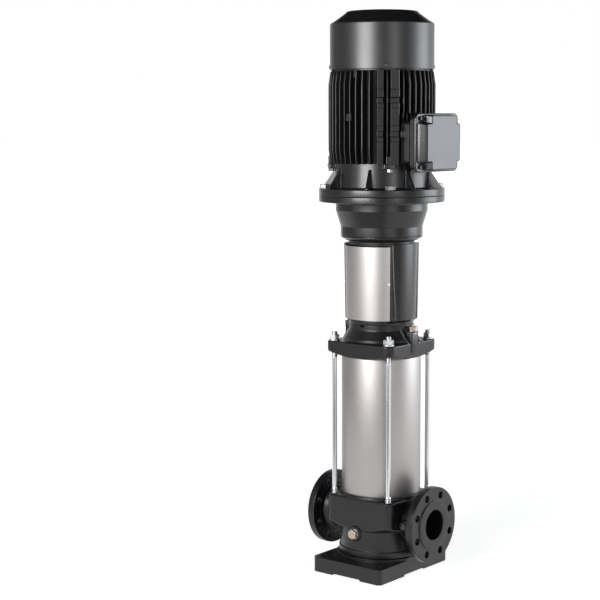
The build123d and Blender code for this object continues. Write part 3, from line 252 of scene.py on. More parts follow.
def rounded(corners, closed=False, steps=5):
    """A polyline through (x, y, radius) corners, with the tangent arc of that radius at each corner."""
    runs = []
    count = len(corners)
    for index, (x, y, radius) in enumerate(corners):
        here = np.array((x, y), float)
        at_end = not closed and index in (0, count - 1)
        if at_end or radius <= 0:
            runs.append(here[None])
            continue
        back = np.array(corners[index - 1][:2], float) - here
        ahead = np.array(corners[(index + 1) % count][:2], float) - here
        back_run, ahead_run = np.hypot(*back), np.hypot(*ahead)
        back, ahead = back / back_run, ahead / ahead_run
        opening = acos(max(-1.0, min(1.0, float(back @ ahead))))
        if opening > pi - 0.01:
            runs.append(here[None])
            continue
        reach = min(radius / tan(opening / 2), 0.48 * back_run, 0.48 * ahead_run)
        radius = reach * tan(opening / 2)
        middle = here + (back + ahead) / np.hypot(*(back + ahead)) * radius / sin(opening / 2)
        start, end = here + back * reach - middle, here + ahead * reach - middle
        first = atan2(start[1], start[0])
        turn = (atan2(end[1], end[0]) - first + pi) % (2 * pi) - pi
        angle = first + turn * np.linspace(0, 1, steps + 1)
        runs.append(middle + radius * np.stack((np.cos(angle), np.sin(angle)), axis=-1))
    return np.concatenate(runs)


def cylindrical(radius, angle, level):
    """Points (r cos a, r sin a, z) from arrays that are stretched to one shape."""
    radius, angle, level = np.broadcast_arrays(radius, angle, level)
    return np.stack((radius * np.cos(angle), radius * np.sin(angle), level), axis=-1)


def circle_angles(segments):
    """Equal angles round a full circle."""
    return np.arange(segments) * 2 * pi / segments


def turned(profile, segments=192, closed=True):
    """A surface of revolution: every (r, z) of the profile carried round Z."""
    profile = np.asarray(profile, float)
    points = cylindrical(profile[:, :1], circle_angles(segments)[None], profile[:, 1:2])
    return Surface.grid(points, rows=closed)


def spun(corners, segments=64):
    """A solid turned from (r, z, radius) corners that start and end on the axis."""
    return turned(rounded(corners), segments, closed=False)


def capped(points):
    """The grid with closed ends: each end row is repeated a little inwards, then drawn into its middle."""
    ends = (points[:1], points[-1:])
    middles = [np.broadcast_to(row.mean(axis=1, keepdims=True), row.shape) for row in ends]
    near = [0.97 * row + 0.03 * middle for row, middle in zip(ends, middles)]
    return np.concatenate((middles[0], near[0], points, near[1], middles[1]))


def stacked(outlines, levels):
    """A closed form from flat (x, y) outlines of equal count, each at its level."""
    rows = []
    for outline, level in zip(outlines, levels):
        rows.append(np.column_stack((outline, np.full(len(outline), level))))
    return Surface.grid(capped(np.stack(rows)))


def slab(width, height, corner, profile):
    """A rounded rectangle carried up a profile of (inset, level), drawn in by the inset at each level."""
    outlines = []
    for inset, level in profile:
        x, y, radius = width / 2 - inset, height / 2 - inset, max(corner - inset, 0.3)
        corners = [(x, -y, radius), (x, y, radius), (-x, y, radius), (-x, -y, radius)]
        outlines.append(rounded(corners, closed=True))
    return stacked(outlines, [level for inset, level in profile])


def square_radius(angle, half, corner):
    """Distance from the middle to the side of a rounded square, in the direction of each angle."""
    across, along = np.abs(np.cos(angle)), np.abs(np.sin(angle))
    large, small = np.maximum(across, along), np.minimum(across, along)
    side = half / large
    middle = half - corner
    reach = middle * (large + small)
    arc = reach + np.sqrt(np.maximum(reach**2 - 2 * middle**2 + corner**2, 0))
    return np.where(side * small <= middle, side, arc)


def soft_minimum(first, second, power):
    """The smaller of two lengths with a rounded change-over: (a^-p + b^-p)^(-1/p)."""
    return first * (1 + (first / second)**power)**(-1 / power)


def thick(outer, inner):
    """A sheet between two grids of one shape, closed along its edges."""
    sides = [outer, inner]
    for end in (0, -1):
        sides.append(np.stack((outer[end], inner[end])))
        sides.append(np.stack((outer[:, end], inner[:, end])))
    return joined(Surface.grid(side, columns=False) for side in sides)


def hex_bar(across_flats, low, high, bore=0.0, below=True):
    """A hexagon bar: the radius a / cos(angle from the nearest flat), held in at its ends by a cone."""
    flat = across_flats / 2
    angle = circle_angles(72)
    hexagon = flat / np.cos((angle + pi / 6) % (pi / 3) - pi / 6)
    depth = np.linspace(0, 0.13, 7) * flat
    level = np.concatenate((low + depth, (high - depth)[::-1]))
    room_below = (level - low) if below else np.full(len(level), across_flats)
    room = np.minimum(room_below, high - level)
    radius = np.minimum(hexagon[None], 0.965 * flat + 1.73 * room[:, None])
    points = cylindrical(radius, angle[None], level[:, None])
    if bore:
        hole = cylindrical(bore, angle[None], np.array((high, low))[:, None])
        return Surface.grid(np.concatenate((points, hole)), rows=True)
    return Surface.grid(capped(points))


def threaded(radius, depth, pitch, low, high):
    """A screw thread: the radius less a groove that is a triangle wave of z / pitch - angle / turn."""
    angle = circle_angles(36)
    level = np.linspace(low, high, int((high - low) / pitch * 6) + 1)
    phase = (level[:, None] / pitch - angle[None] / (2 * pi)) % 1
    groove = depth * np.abs(2 * phase - 1)
    ends = np.minimum(1.0, np.minimum(level - low, high - level) / pitch)[:, None]
    crest = radius - groove - depth * (1 - ends)
    return Surface.grid(capped(cylindrical(crest, angle[None], level[:, None])))


def pierced_ring(inner, outer, low, high, hole_circle, hole, count, first, edge=1.5, chamfer=0.6, arc=18):
    """A flat ring with holes: each sector's border is joined to its hole along rays from the hole."""
    step = 360 / count
    turn = np.radians(first + np.linspace(-step / 2, step / 2, arc + 1))
    skirt = outer - edge
    side = np.linspace(skirt, inner, 9)[1:-1]
    radius = np.concatenate((np.full(arc + 1, skirt), side, np.full(arc + 1, inner), side[::-1]))
    angle = np.concatenate((turn, np.full(7, turn[-1]), turn[::-1], np.full(7, turn[0])))
    border = np.stack((radius * np.cos(angle), radius * np.sin(angle)), axis=-1)
    middle = hole_circle * np.array((cos(radians(first)), sin(radians(first))))
    away = border - middle
    heading = np.arctan2(away[:, 1], away[:, 0]) - radians(first)
    away /= np.hypot(away[:, 0], away[:, 1])[:, None]
    rows = []
    for grow, level in ((None, high), (chamfer, high), (0, high - chamfer), (0, low + chamfer),
                        (chamfer, low), (None, low)):
        line = border if grow is None else middle + away * (hole(heading) + grow)[:, None]
        rows.append(np.column_stack((line, np.full(len(line), level))))
    whole = Surface.grid(np.stack(rows)).around(count)
    start = radians(first - step / 2)
    angle = start + circle_angles(arc * count)
    rim = rounded([(skirt, high, 0), (outer, high, edge), (outer, low, edge), (skirt, low, 0)])
    whole += Surface.grid(cylindrical(rim[:, :1], angle[None], rim[:, 1:2]))
    return whole + Surface.grid(cylindrical(inner, angle[None], np.array((high, low))[:, None]))


def round_hole(radius):
    """The outline of a round hole."""
    return lambda heading: np.full(len(heading), radius)


def slot_hole(half_length, half_width):
    """The outline of a long hole with rounded ends, by direction from its middle."""
    return lambda heading: soft_minimum(
        half_length / np.maximum(np.abs(np.cos(heading)), 1e-3),
        half_width / np.maximum(np.abs(np.sin(heading)), 1e-3), 8)


def make_piece(name, surface, slot, nodes, look=None, body="housing", sharp=35):
    """Make a mesh object in metres: doubles merged, faces turned outwards, edges sharp above an angle.

    Its finish is the slot's own unless look names another.
    """
    if not np.isfinite(surface.points).all():
        raise ValueError(name + " has points without a place")
    mesh = bpy.data.meshes.new(name)
    mesh.from_pydata((surface.points / 1000).tolist(), [], surface.quads.tolist())
    form = bmesh.new()
    form.from_mesh(mesh)
    bmesh.ops.remove_doubles(form, verts=form.verts, dist=4e-6)
    bmesh.ops.dissolve_degenerate(form, edges=form.edges, dist=1e-7)
    bmesh.ops.recalc_face_normals(form, faces=form.faces)
    form.to_mesh(mesh)
    form.free()
    mesh.shade_smooth()
    mesh.set_sharp_from_angle(angle=radians(sharp))
    mesh.materials.append(finish(look or slot))
    piece = bpy.data.objects.new(name, mesh)
    bpy.context.scene.collection.objects.link(piece)
    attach(piece, body)
    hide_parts(*nodes)


# Shader nodes

class Value:
    """A shader output that arithmetic can be written with."""

    def __init__(self, shader, socket):
        self.shader = shader
        self.socket = socket

    def maths(self, operation, other):
        """A Math node of this value and another."""
        return self.shader.node("ShaderNodeMath", {"operation": operation}, {0: self, 1: other})

    def __add__(self, other):
        return self.maths("ADD", other)

    def __mul__(self, other):
        return self.maths("MULTIPLY", other)

    def larger(self, other):
        """The larger of two values."""
        return self.maths("MAXIMUM", other)


class Shader:
    """The node tree of a material or world."""

    def __init__(self, owner):
        owner.use_nodes = True
        self.tree = owner.node_tree
        self.tree.nodes.clear()

    def node(self, kind, settings=None, inputs=None, output=0):
        """A node of any type: its settings are set first, then the values or links of its sockets."""
        node = self.tree.nodes.new(kind)
        for name, value in (settings or {}).items():
            setattr(node, name, value)
        for name, value in (inputs or {}).items():
            socket = node.inputs[name]
            if isinstance(value, Value):
                self.tree.links.new(value.socket, socket)
            else:
                socket.default_value = value
        return Value(self, node.outputs[output]) if node.outputs else node

    def place(self, scale=(1, 1, 1)):
        """Object coordinates, stretched."""
        here = self.node("ShaderNodeTexCoord", output="Object")
        return self.node("ShaderNodeMapping", inputs={"Vector": here, "Scale": scale})

    def noise(self, scale, detail=3.0, stretch=(1, 1, 1)):
        """Noise on Object coordinates, between 0 and 1."""
        return self.node("ShaderNodeTexNoise", inputs={
            "Vector": self.place(stretch), "Scale": scale, "Detail": detail, "Roughness": 0.55})

    def blend(self, factor, first, second):
        """A colour between two colours."""
        return self.node("ShaderNodeMix", {"data_type": "RGBA"},
                         {0: factor, 6: (*first, 1), 7: (*second, 1)}, output=2)

    def between(self, value, low, high):
        """A value mapped from 0.3 to 0.7 onto low to high, held at its ends."""
        return self.node("ShaderNodeMapRange", {"clamp": True}, {0: value, 1: 0.3, 2: 0.7, 3: low, 4: high})


def make_finish(name, colour, roughness, metallic=0.0, spread=0.06, shade=0.25, grain=420.0,
                depth=0.00012, strength=0.35, bevel=0.0, stretch=(1, 1, 1), mottle=14.0, specular=0.5,
                deep=None):
    """A finish whose colour, roughness and bump come from noise at two sizes; a bevel softens its edges.

    Where deep gives two distances from the shaft, the finish is dull at the inner one, as between fins.
    """
    material = bpy.data.materials.new(name)
    shader = Shader(material)
    broad = shader.noise(mottle, 3)
    fine = shader.noise(grain, 4, stretch)
    dark = tuple(channel * (1 - shade) for channel in colour)
    light = tuple(min(1.0, channel * (1 + shade)) for channel in colour)
    mixed = broad * 0.5 + fine * 0.5
    rough = shader.between(mixed, roughness - spread, roughness + spread)
    if deep:
        from_shaft = shader.node("ShaderNodeVectorMath", {"operation": "LENGTH"},
                                 {0: shader.place((1, 1, 0))}, output="Value")
        rough = rough + shader.node("ShaderNodeMapRange", {"clamp": True}, {
            0: from_shaft, 1: deep[0], 2: deep[1] - 0.001, 3: 0.5, 4: 0.0})
    bump_inputs = {"Strength": strength, "Distance": depth, "Height": fine}
    if bevel:
        bump_inputs["Normal"] = shader.node("ShaderNodeBevel", {"samples": 6}, {"Radius": bevel})
    surface = shader.node("ShaderNodeBsdfPrincipled", inputs={
        "Base Color": shader.blend(shader.between(mixed, 0, 1), dark, light),
        "Metallic": metallic,
        "Roughness": rough,
        "Specular IOR Level": specular,
        "Normal": shader.node("ShaderNodeBump", inputs=bump_inputs),
    })
    shader.node("ShaderNodeOutputMaterial", inputs={"Surface": surface})
    return material


def laminated_finish():
    """Stacked sheet steel: dark and light lines across Z from a wave, over a little noise."""
    material = bpy.data.materials.new("lamination_finish")
    shader = Shader(material)
    lines = shader.node("ShaderNodeTexWave", {"bands_direction": "Z"},
                        {"Vector": shader.place(), "Scale": 320.0})
    surface = shader.node("ShaderNodeBsdfPrincipled", inputs={
        "Base Color": shader.blend(lines, (0.2, 0.2, 0.21), (0.42, 0.43, 0.45)),
        "Metallic": 1.0,
        "Roughness": shader.between(shader.noise(90), 0.35, 0.5),
        "Normal": shader.node("ShaderNodeBump", inputs={
            "Strength": 0.5, "Distance": 0.0002, "Height": lines}),
    })
    shader.node("ShaderNodeOutputMaterial", inputs={"Surface": surface})
    return material


def scaled(colour, part):
    """A colour with every channel multiplied."""
    return tuple(part * channel for channel in colour)


def finish(name):
    """A finish by its slot name, made the first time it is asked for."""
    made = bpy.data.materials.get(name + "_finish")
    if made:
        return made
    if name == "lamination":
        return laminated_finish()
    look = bpy.context.scene.pump_finishes
    motor = millimetres(bpy.context.scene.pump_motor)
    paint, cast, sheet_steel = tuple(look.paint), look.paint_gloss, look.sheet_gloss
    brushed = dict(metallic=1.0, spread=0.04, shade=0.05, grain=900, depth=0.00002, strength=0.2,
                   stretch=(1, 1, 0.04), mottle=6)
    small = dict(grain=900, depth=0.00003, mottle=60)
    recipes = {
        "black_cast": dict(colour=paint, roughness=cast, spread=0.05, shade=0.3, grain=360,
                           depth=0.00025, strength=0.25, bevel=0.0022),
        "black_gloss": dict(colour=paint, roughness=sheet_steel, spread=0.04, strength=0.1,
                            bevel=0.0015, specular=0.6),
        # Painted shade: the frame's paint is the castings' black darkened to 0.7, a darker copy of the same
        # paint that stands for the shade between the fins.
        "black_frame_darkened_for_shade": dict(colour=scaled(paint, 0.7), roughness=cast, spread=0.05, shade=0.3,
                            depth=0.00015, strength=0.2, bevel=0.0008, specular=0.55,
                            deep=(motor.barrel / 1000, motor.fin / 1000)),
        "black_sheet": dict(colour=paint, roughness=sheet_steel + 0.08, spread=0.03, shade=0.2,
                            grain=700, depth=0.00004, strength=0.1, bevel=0.0006, specular=0.8),
        "stainless_sheet": dict(colour=scaled(look.stainless, 0.85), roughness=0.42, **brushed),
        # The sleeve's steel is rougher than the guards', which is its own finish, and its colour is darker,
        # 0.72 of the stainless against 0.85: partly painted shade, standing for the dim floor near the pump
        # that the sleeve reflects.
        "stainless_sleeve_and_shade": dict(colour=scaled(look.stainless, 0.72), roughness=0.48, **brushed),
        "stainless_stage": dict(colour=(0.6, 0.6, 0.6), roughness=0.28, metallic=1.0, shade=0.06,
                                grain=700, depth=0.00003, bevel=0.0006),
        "bright_rod": dict(colour=tuple(look.rod), roughness=0.2, metallic=1.0, spread=0.04,
                           shade=0.05, grain=1500, depth=0.00002, stretch=(0.1, 0.1, 1)),
        "dark_steel": dict(colour=(0.1, 0.095, 0.09), roughness=0.36, metallic=0.9, shade=0.15,
                           bevel=0.0006, **small),
        "dull_zinc": dict(colour=scaled(look.zinc, 0.45), roughness=0.5, metallic=1.0, shade=0.1,
                          bevel=0.0006, **small),
        "zinc_steel": dict(colour=tuple(look.zinc), roughness=0.27, metallic=1.0, shade=0.08,
                           bevel=0.0005, **small),
        "plug_steel": dict(colour=tuple(look.plug), roughness=0.3, metallic=1.0, shade=0.1,
                           bevel=0.0006, **small),
        "machined_iron": dict(colour=(0.25, 0.25, 0.26), roughness=0.42, metallic=0.9, shade=0.15,
                              grain=800, depth=0.00005, bevel=0.0008),
        "wear_ring": dict(colour=(0.1, 0.1, 0.1), roughness=0.5, shade=0.2, grain=900, depth=0.00005),
        "seal_rubber": dict(colour=(0.014, 0.014, 0.014), roughness=0.62, grain=700, depth=0.00008),
        "seal_ceramic": dict(colour=(0.06, 0.06, 0.065), roughness=0.14, spread=0.03, shade=0.1,
                             grain=500, depth=0.00001),
        "winding_copper": dict(colour=(0.5, 0.2, 0.08), roughness=0.35, metallic=0.6, shade=0.3,
                               grain=300, depth=0.0006, strength=0.7, stretch=(1, 1, 3)),
        "bearing_steel": dict(colour=(0.7, 0.7, 0.72), roughness=0.16, metallic=1.0, spread=0.03,
                              shade=0.05, grain=900, depth=0.00001),
        "moulded_plastic": dict(colour=(0.02, 0.02, 0.021), roughness=0.45, shade=0.2, grain=800,
                                depth=0.00008, bevel=0.0006),
    }
    if name not in recipes:
        raise ValueError("no finish is known for the slot " + name)
    return make_finish(name + "_finish", **recipes[name])


# Pieces of the base

def sideways(surface, level):
    """A surface made about Z, laid along +X at a level; its own +X side then faces down."""
    return surface.turned("Y", 90).moved(z=level)


def port_surface(sizes, hole):
    """The +X port: a neck and raised face turned about the port axis, and a pierced flange ring on it."""
    face, bore = sizes.port_face, sizes.port_bore
    neck = rounded([
        (bore, 60, 0), (bore, face - 1, 0.8), (bore + 1, face, 0.6), (66, face, 0.8), (66, face - 4, 0),
        (60, face - 6, 0), (60, face - 22, 0), (52, face - 38, 14), (52, 60, 0)], closed=True, steps=6)
    ring = pierced_ring(50, sizes.port_flange, face - 23, face - 3, 80, round_hole(hole), 8, 22.5, edge=1.6)
    back = rounded([(50, face - 24, 0), (70, face - 24, 0), (72, face - 22, 0), (50, face - 20, 0)],
                   closed=True)
    return sideways(turned(neck, 128) + ring + turned(back, 128), sizes.port_level)


def edge_drop(level, top, radius):
    """How far a side lies further in where its upper edge is rounded."""
    return radius - np.sqrt(np.maximum(radius**2 - np.maximum(level - top + radius, 0)**2, 0))


def base_surface(sizes):
    """The body: a circle below, a rounded square above, each row's radius the smaller of square and cone."""
    angle = circle_angles(288)[None]
    bottom, top = sizes.foot_bottom, sizes.block_top
    foot_top = bottom + sizes.foot_height
    foot = rounded([
        (60, bottom, 0), (sizes.foot, bottom, 2.5), (sizes.foot, foot_top, 3),
        (sizes.body + 0.5, foot_top + 1, 4), (sizes.body, foot_top + 12, 4), (sizes.body, 90, 0)])
    rows = [cylindrical(foot[:, :1], angle, foot[:, 1:2])]
    block_low, edge_round, slope = 118, 4.2, 34 / 15
    level = np.concatenate((
        np.arange(92, 116, 3), np.arange(116, 135, 1.0), np.arange(136, 198, 3),
        top - edge_round + edge_round * np.sin(np.linspace(0, pi / 2, 8))))[:, None]
    cone = np.where(level < block_low, sizes.body, sizes.body + (level - block_low) * slope)
    draft = (level - block_low) * tan(radians(1.5))
    square = square_radius(angle, sizes.block, sizes.corner) - draft - edge_drop(level, top, edge_round)
    radius = np.where(level < 116, sizes.body, soft_minimum(square, np.broadcast_to(cone, square.shape), 50))
    rows.append(cylindrical(radius, angle, level))
    points = np.concatenate(rows)
    from_port = np.hypot(points[..., 1], points[..., 2] - sizes.port_level)
    chamber = 62
    inside = (from_port < sizes.port_bore + 6) & (np.abs(points[..., 0]) > chamber)
    points[..., 0] = np.where(inside, np.sign(points[..., 0]) * chamber, points[..., 0])
    return Surface.grid(capped(points))


def towards_front(surface, across, level):
    """A form made about Z, turned to point to -Y, at a place across X and a height."""
    return surface.turned("X", 90).moved(x=across, z=level)


def sleeve_seat_ring(low, inner, outer, height):
    """The ring that holds the sleeve's lower end, with a small groove beside the sleeve."""
    profile = rounded([(inner, 0, 0), (outer + 1.5, 0, 0), (outer, height, 1.2), (105.6, height, 0.6),
                       (105.6, 2, 0), (inner, 2, 0)], closed=True)
    profile[:, 1] += low
    return turned(profile, 192)


class PUMP_OT_base(Operator):
    """Make the base casting with its two ports, the drain plug and the gauge plugs."""
    bl_idname = "pump.base"
    bl_label = "Base casting and plugs"

    def execute(self, context):
        sizes = millimetres(context.scene.pump_base)
        top = sizes.block_top
        surface = base_surface(sizes)
        surface += port_surface(sizes, sizes.discharge_hole)
        surface += port_surface(sizes, sizes.suction_hole).turned("Z", 180)
        surface += sleeve_seat_ring(top, 97, 108.4, 8)
        drain_across, drain_level, gauge_across = -4, 110, 118
        drain = spun([(0, 90, 0), (22, 90, 0), (20, 110, 3), (19, 113, 1.2), (0, 113, 0)])
        surface += towards_front(drain, drain_across, drain_level)
        gauge = spun([(0, 40, 0), (15, 40, 0), (13.6, 54, 3), (13, 60, 1), (0, 60, 0)])
        for across in (-gauge_across, gauge_across):
            surface += towards_front(gauge, across, sizes.port_level)
        make_piece("base_casting", surface, "black_cast", ["pump_base"])

        plug = spun([(0, -6, 0), (14, -6, 0), (14, 3, 0.8), (0, 3, 0)]) + hex_bar(24, 3, 11, below=False)
        plug = towards_front(plug.moved(z=113), drain_across, drain_level)
        make_piece("drain_plug_dressed", plug, "plug_steel", ["drain_plug"])
        small = hex_bar(17, 0.5, 7.4) + spun([(0, -8, 0), (8, -8, 0), (8, 0.8, 0.3), (0, 0.8, 0)], 48)
        small = small.moved(z=60)
        head = millimetres(context.scene.pump_head)
        plugs = head_plug_surface().moved(x=-head.boss_place, z=head.boss_top)
        for across in (-gauge_across, gauge_across):
            plugs += towards_front(small, across, sizes.port_level)
        make_piece("port_plugs_dressed", plugs, "plug_steel", ["port_plugs"], "dark_steel")
        return {"FINISHED"}


# Sleeve and rods

class PUMP_OT_sleeve(Operator):
    """Make the stainless sleeve, the tie rods with their threads, nuts and washers."""
    bl_idname = "pump.sleeve"
    bl_label = "Sleeve and tie rods"

    def execute(self, context):
        sizes = millimetres(context.scene.pump_sleeve)
        head_top = 1000 * context.scene.pump_head.top
        block_top = 1000 * context.scene.pump_base.block_top
        inner = sizes.sleeve - sizes.wall
        profile = rounded([(sizes.sleeve, sizes.bottom, 0.4), (sizes.sleeve, sizes.top, 0.4),
                           (inner, sizes.top, 0.4), (inner, sizes.bottom, 0.4)], closed=True, steps=2)
        # The sleeve's finish is darker than the guards': partly its own coarser steel, partly painted shade.
        make_piece("sleeve_dressed", turned(profile, 256), "stainless_sheet", ["outer_sleeve"],
                   "stainless_sleeve_and_shade")

        nut_low = head_top + 3
        shank = spun([(0, block_top + 10, 0), (sizes.rod, block_top + 10, 0), (sizes.rod, 560, 0),
                      (sizes.rod, 580, 0), (0, 580, 0)], 48)
        neck = turned([(0, block_top + 12.5), (8, block_top + 12.5), (6.5, block_top + 16),
                       (0, block_top + 16)], 48, closed=False)
        collar = turned([(0, 569), (6.5, 569), (8, 572.5), (0, 572.5)], 48, closed=False)
        lower = threaded(sizes.thread, 1.1, sizes.pitch, block_top - 3, block_top + 13)
        upper = threaded(sizes.thread, 1.1, sizes.pitch, 572, nut_low + 21)
        rod = (shank + neck + collar + lower + upper).moved(x=sizes.rod_circle)
        make_piece("tie_rods_dressed", rod.around(4, 45), "bright_rod", ["tie_rods"])
        nut = hex_bar(sizes.nut, nut_low, nut_low + 13, bore=8.05).moved(x=sizes.rod_circle)
        make_piece("rod_nuts_dressed", nut.around(4, 45), "zinc_steel", ["tie_rod_nuts"])
        ring = rounded([(8.5, head_top, 0.3), (15, head_top, 0.3), (15, nut_low, 0.7), (8.5, nut_low, 0.3)],
                       closed=True)
        washer = turned(ring, 64).moved(x=sizes.rod_circle)
        make_piece("rod_washers_dressed", washer.around(4, 45), "zinc_steel", ["tie_rod_washers"])
        return {"FINISHED"}


# Head

def head_surface(sizes):
    """One grid: the plate, a rounded square cut by a cone below, and the dome and neck on it."""
    base = circle_angles(288)
    sides = (-0.0715, -0.0695, 0.0695, 0.0715)
    slots = [pi / 2 + turn + side for turn in (0, pi) for side in sides]
    angle = np.sort(np.concatenate((base, slots)))[None]
    bottom, top = sizes.bottom, sizes.top
    level = np.concatenate(([bottom, bottom + 0.01], np.linspace(bottom + 0.5, bottom + 12, 16),
                            np.linspace(bottom + 15, top - 5, 6),
                            top - 4 + 4 * np.sin(np.linspace(0, pi / 2, 8))))[:, None]
    cone = 109 + (level - bottom) / 0.345
    square = square_radius(angle, sizes.half, sizes.corner) - edge_drop(level, top, 4)
    radius = soft_minimum(square, np.broadcast_to(cone, square.shape), 60)
    dome = rounded([(106, top, 0), (102, top + 0.5, 4), (99.5, top + 8, 4), (sizes.neck, top + 32, 10),
                    (sizes.neck, sizes.neck_top - 5.2, 0), (sizes.neck, sizes.neck_top - 5, 0),
                    (sizes.neck, sizes.neck_top, 0.8), (0.1, sizes.neck_top, 0)], steps=6)
    upper = cylindrical(dome[:, :1], angle, dome[:, 1:2])
    from_axis = np.hypot(upper[..., 0], upper[..., 1])
    notch = (np.abs(upper[..., 0]) < 6.05) & (upper[..., 2] > sizes.neck_top - 5.1) & (from_axis > 70)
    upper[..., :2] = np.where(notch[..., None], upper[..., :2] * 0.82, upper[..., :2])
    return Surface.grid(capped(np.concatenate((cylindrical(radius, angle, level), upper))))


def boss_surface(sizes):
    """The +X plug boss with a web to the dome and two small ribs beside it."""
    top = sizes.boss_top
    wide = 2 * sizes.boss
    reach = sizes.half + 2.6
    whole = slab(40, wide, 4, [(3, 586), (1.2, 589), (0, 594), (0, top - 1.4), (0.4, top - 0.4),
                               (1.4, top)])
    whole = whole.moved(x=reach - 20)
    seat = spun([(0, top - 2, 0), (14.8, top - 2, 0), (14.8, top, 0.4), (0, top, 0)], 72)
    whole += seat.moved(x=sizes.boss_place)
    web = np.array([(70, 612), (96, 612), (96, top - 0.5), (92, top + 0.5), (82, 657), (70, 657)])
    side = sizes.boss
    whole += stacked([web] * 4, [0.2 - side, 0.3 - side, side - 0.3, side - 0.2]).turned("X", 90)
    rib = rounded([(74, 612, 0), (107, 612, 0), (106.5, 618, 2), (83, 656, 2), (74, 656, 0)], closed=True)
    solid = stacked([rib, rib], [-2.7, 2.7]).turned("X", 90)
    for place in (-25, 25):
        whole += solid.moved(y=place)
    return whole


def head_plug_surface():
    """A hexagon plug with a collar, standing on Z = 0."""
    collar = spun([(0, -8, 0), (10, -8, 0), (10, 0, 0), (14.5, 0, 0.3), (14.5, 2, 0.8), (0, 2, 0)])
    return collar + hex_bar(26, 1.5, 13)


class PUMP_OT_head(Operator):
    """Make the head casting, the priming plug and its vent screw."""
    bl_idname = "pump.head"
    bl_label = "Head casting and plugs"

    def execute(self, context):
        sizes = millimetres(context.scene.pump_head)
        surface = head_surface(sizes)
        boss = boss_surface(sizes)
        surface += boss + boss.turned("Z", 180)
        make_piece("head_casting", surface, "black_cast", ["pump_head"])
        place = {"x": sizes.boss_place, "z": sizes.boss_top}
        plug = head_plug_surface().moved(**place)
        make_piece("priming_plug_dressed", plug, "plug_steel", ["priming_plug"])
        stem = spun([(0, 12.5, 0), (2.9, 12.5, 0), (2.9, 13.2, 0), (0, 13.2, 0)], 32)
        vent = (stem + hex_bar(10, 13.1, 19.1)).moved(**place)
        make_piece("vent_screw_dressed", vent, "plug_steel", ["vent_screw"], body="vent")
        return {"FINISHED"}


# Motor stool and guards

def guard_radius(sizes, level):
    """The guards' outer radius at a height, a straight change from below to above."""
    part = (level - sizes.ring_top) / (sizes.window_top - sizes.ring_top)
    return sizes.guard_low + part * (sizes.guard_high - sizes.guard_low)


def leg_surface(sizes):
    """One leg about +X: a curved wall with a raised lip along each edge that widens downwards."""
    level = np.concatenate(([sizes.bottom + 1], [sizes.bottom + 6], [sizes.ring_top - 2],
                            np.linspace(sizes.ring_top, sizes.window_top + 6, 24)))[:, None]
    part = np.clip((sizes.window_top - level) / (sizes.window_top - sizes.ring_top), 0, 1)
    lip = 2.4 + 6.2 * part**1.3
    outer = guard_radius(sizes, np.maximum(level, sizes.ring_top))
    foot = np.clip((level - sizes.bottom - 5) / (sizes.ring_top - sizes.bottom - 5), 0, 1)
    ring_edge = 85
    outer = ring_edge + (outer - ring_edge) * foot
    knots = [(-44, 0, -1.3), (-40.25, 0, -1.3), (-40, 0, 0.8), (-39.6, 0, 1.7), (-39, 0, 2.0),
             (-39.4, 1, 2.0), (-39, 1, 1.6), (-38.4, 1, -0.4), (-37.6, 1, -1.2), (-36.6, 1, -1.5)]
    knots += [(angle, 2, -1.5) for angle in np.linspace(-24, 24, 17)]
    knots += [(-angle, kind, raised) for angle, kind, raised in reversed(knots[:10])]
    angle = np.array([knot[0] for knot in knots])[None]
    moves = np.array([np.sign(-knot[0]) if knot[1] == 1 else 0 for knot in knots])[None]
    raised = np.array([knot[2] for knot in knots])[None]
    turn = np.radians(angle + moves * lip)
    raised = np.where(raised > 0, raised * foot, raised)
    skin = cylindrical(outer + raised, turn, level)
    wall = cylindrical(80, turn, level)
    return thick(skin, wall)


def stool_top_profile(sizes):
    """The (r, z) outline of the cone with its recess, groove, shoulder and flange."""
    low, face = sizes.window_top, sizes.face
    groove = sizes.waist - 1.8
    return rounded([
        (80, low, 0), (87, low, 1), (87, low + 12, 1), (96, low + 14, 2), (sizes.waist, low + 22, 2),
        (sizes.waist, low + 24.2, 0.4), (groove, low + 24.6, 0.4), (groove, low + 26.4, 0.4),
        (sizes.waist, low + 26.8, 0.4), (sizes.waist, low + 50, 3), (sizes.shoulder, 961, 3),
        (sizes.shoulder, face - 17, 5), (sizes.flange, face - 17, 2.2), (sizes.flange, face - 0.2, 1.3),
        (125.1, face - 0.2, 0), (125.1, face - 6, 0), (107, face - 6, 0), (107, 962, 0), (95, low + 51, 0),
        (80, low + 14, 0)], closed=True, steps=6)


def guard_surface(sizes, middle):
    """A guard: a coned sheet with its own wall, its middle turned to an angle."""
    low, high = sizes.ring_top, sizes.window_top
    level = np.concatenate(([low + 0.4], np.linspace(low + 3, high - 3, 40), [high - 0.4]))[:, None]
    half = 49.8
    side = np.array((-half, -half + 0.1, -half + 2.2, -half + 2.4))
    angle = np.concatenate((side, np.linspace(-46, 46, 36), -side[::-1]))[None]
    radius = guard_radius(sizes, level)
    turn = np.radians(angle)
    outer = cylindrical(radius, turn, level)
    inner = cylindrical(radius - sizes.guard_wall, turn, level)
    return thick(outer, inner).turned("Z", middle)


class PUMP_OT_stool(Operator):
    """Make the motor stool and the two coupling guards."""
    bl_idname = "pump.stool"
    bl_label = "Motor stool and guards"

    def execute(self, context):
        sizes = millimetres(context.scene.pump_stool)
        surface = turned(stool_top_profile(sizes), 256)
        low, high = sizes.bottom + 0.1, sizes.ring_top
        ring = rounded([(62, low, 0.5), (85, low, 1), (85, high - 5, 0), (85, high, 1.5), (62, high, 1)],
                       closed=True)
        surface += turned(ring, 192)
        leg = leg_surface(sizes)
        surface += leg + leg.turned("Z", 180)
        make_piece("stool_casting", surface, "black_cast", ["motor_stool"], "black_gloss")
        for side, middle in (("front", -90), ("rear", 90)):
            make_piece(side + "_guard_dressed", guard_surface(sizes, middle), "stainless_sheet",
                       [side + "_coupling_guard"])
        return {"FINISHED"}


# Motor

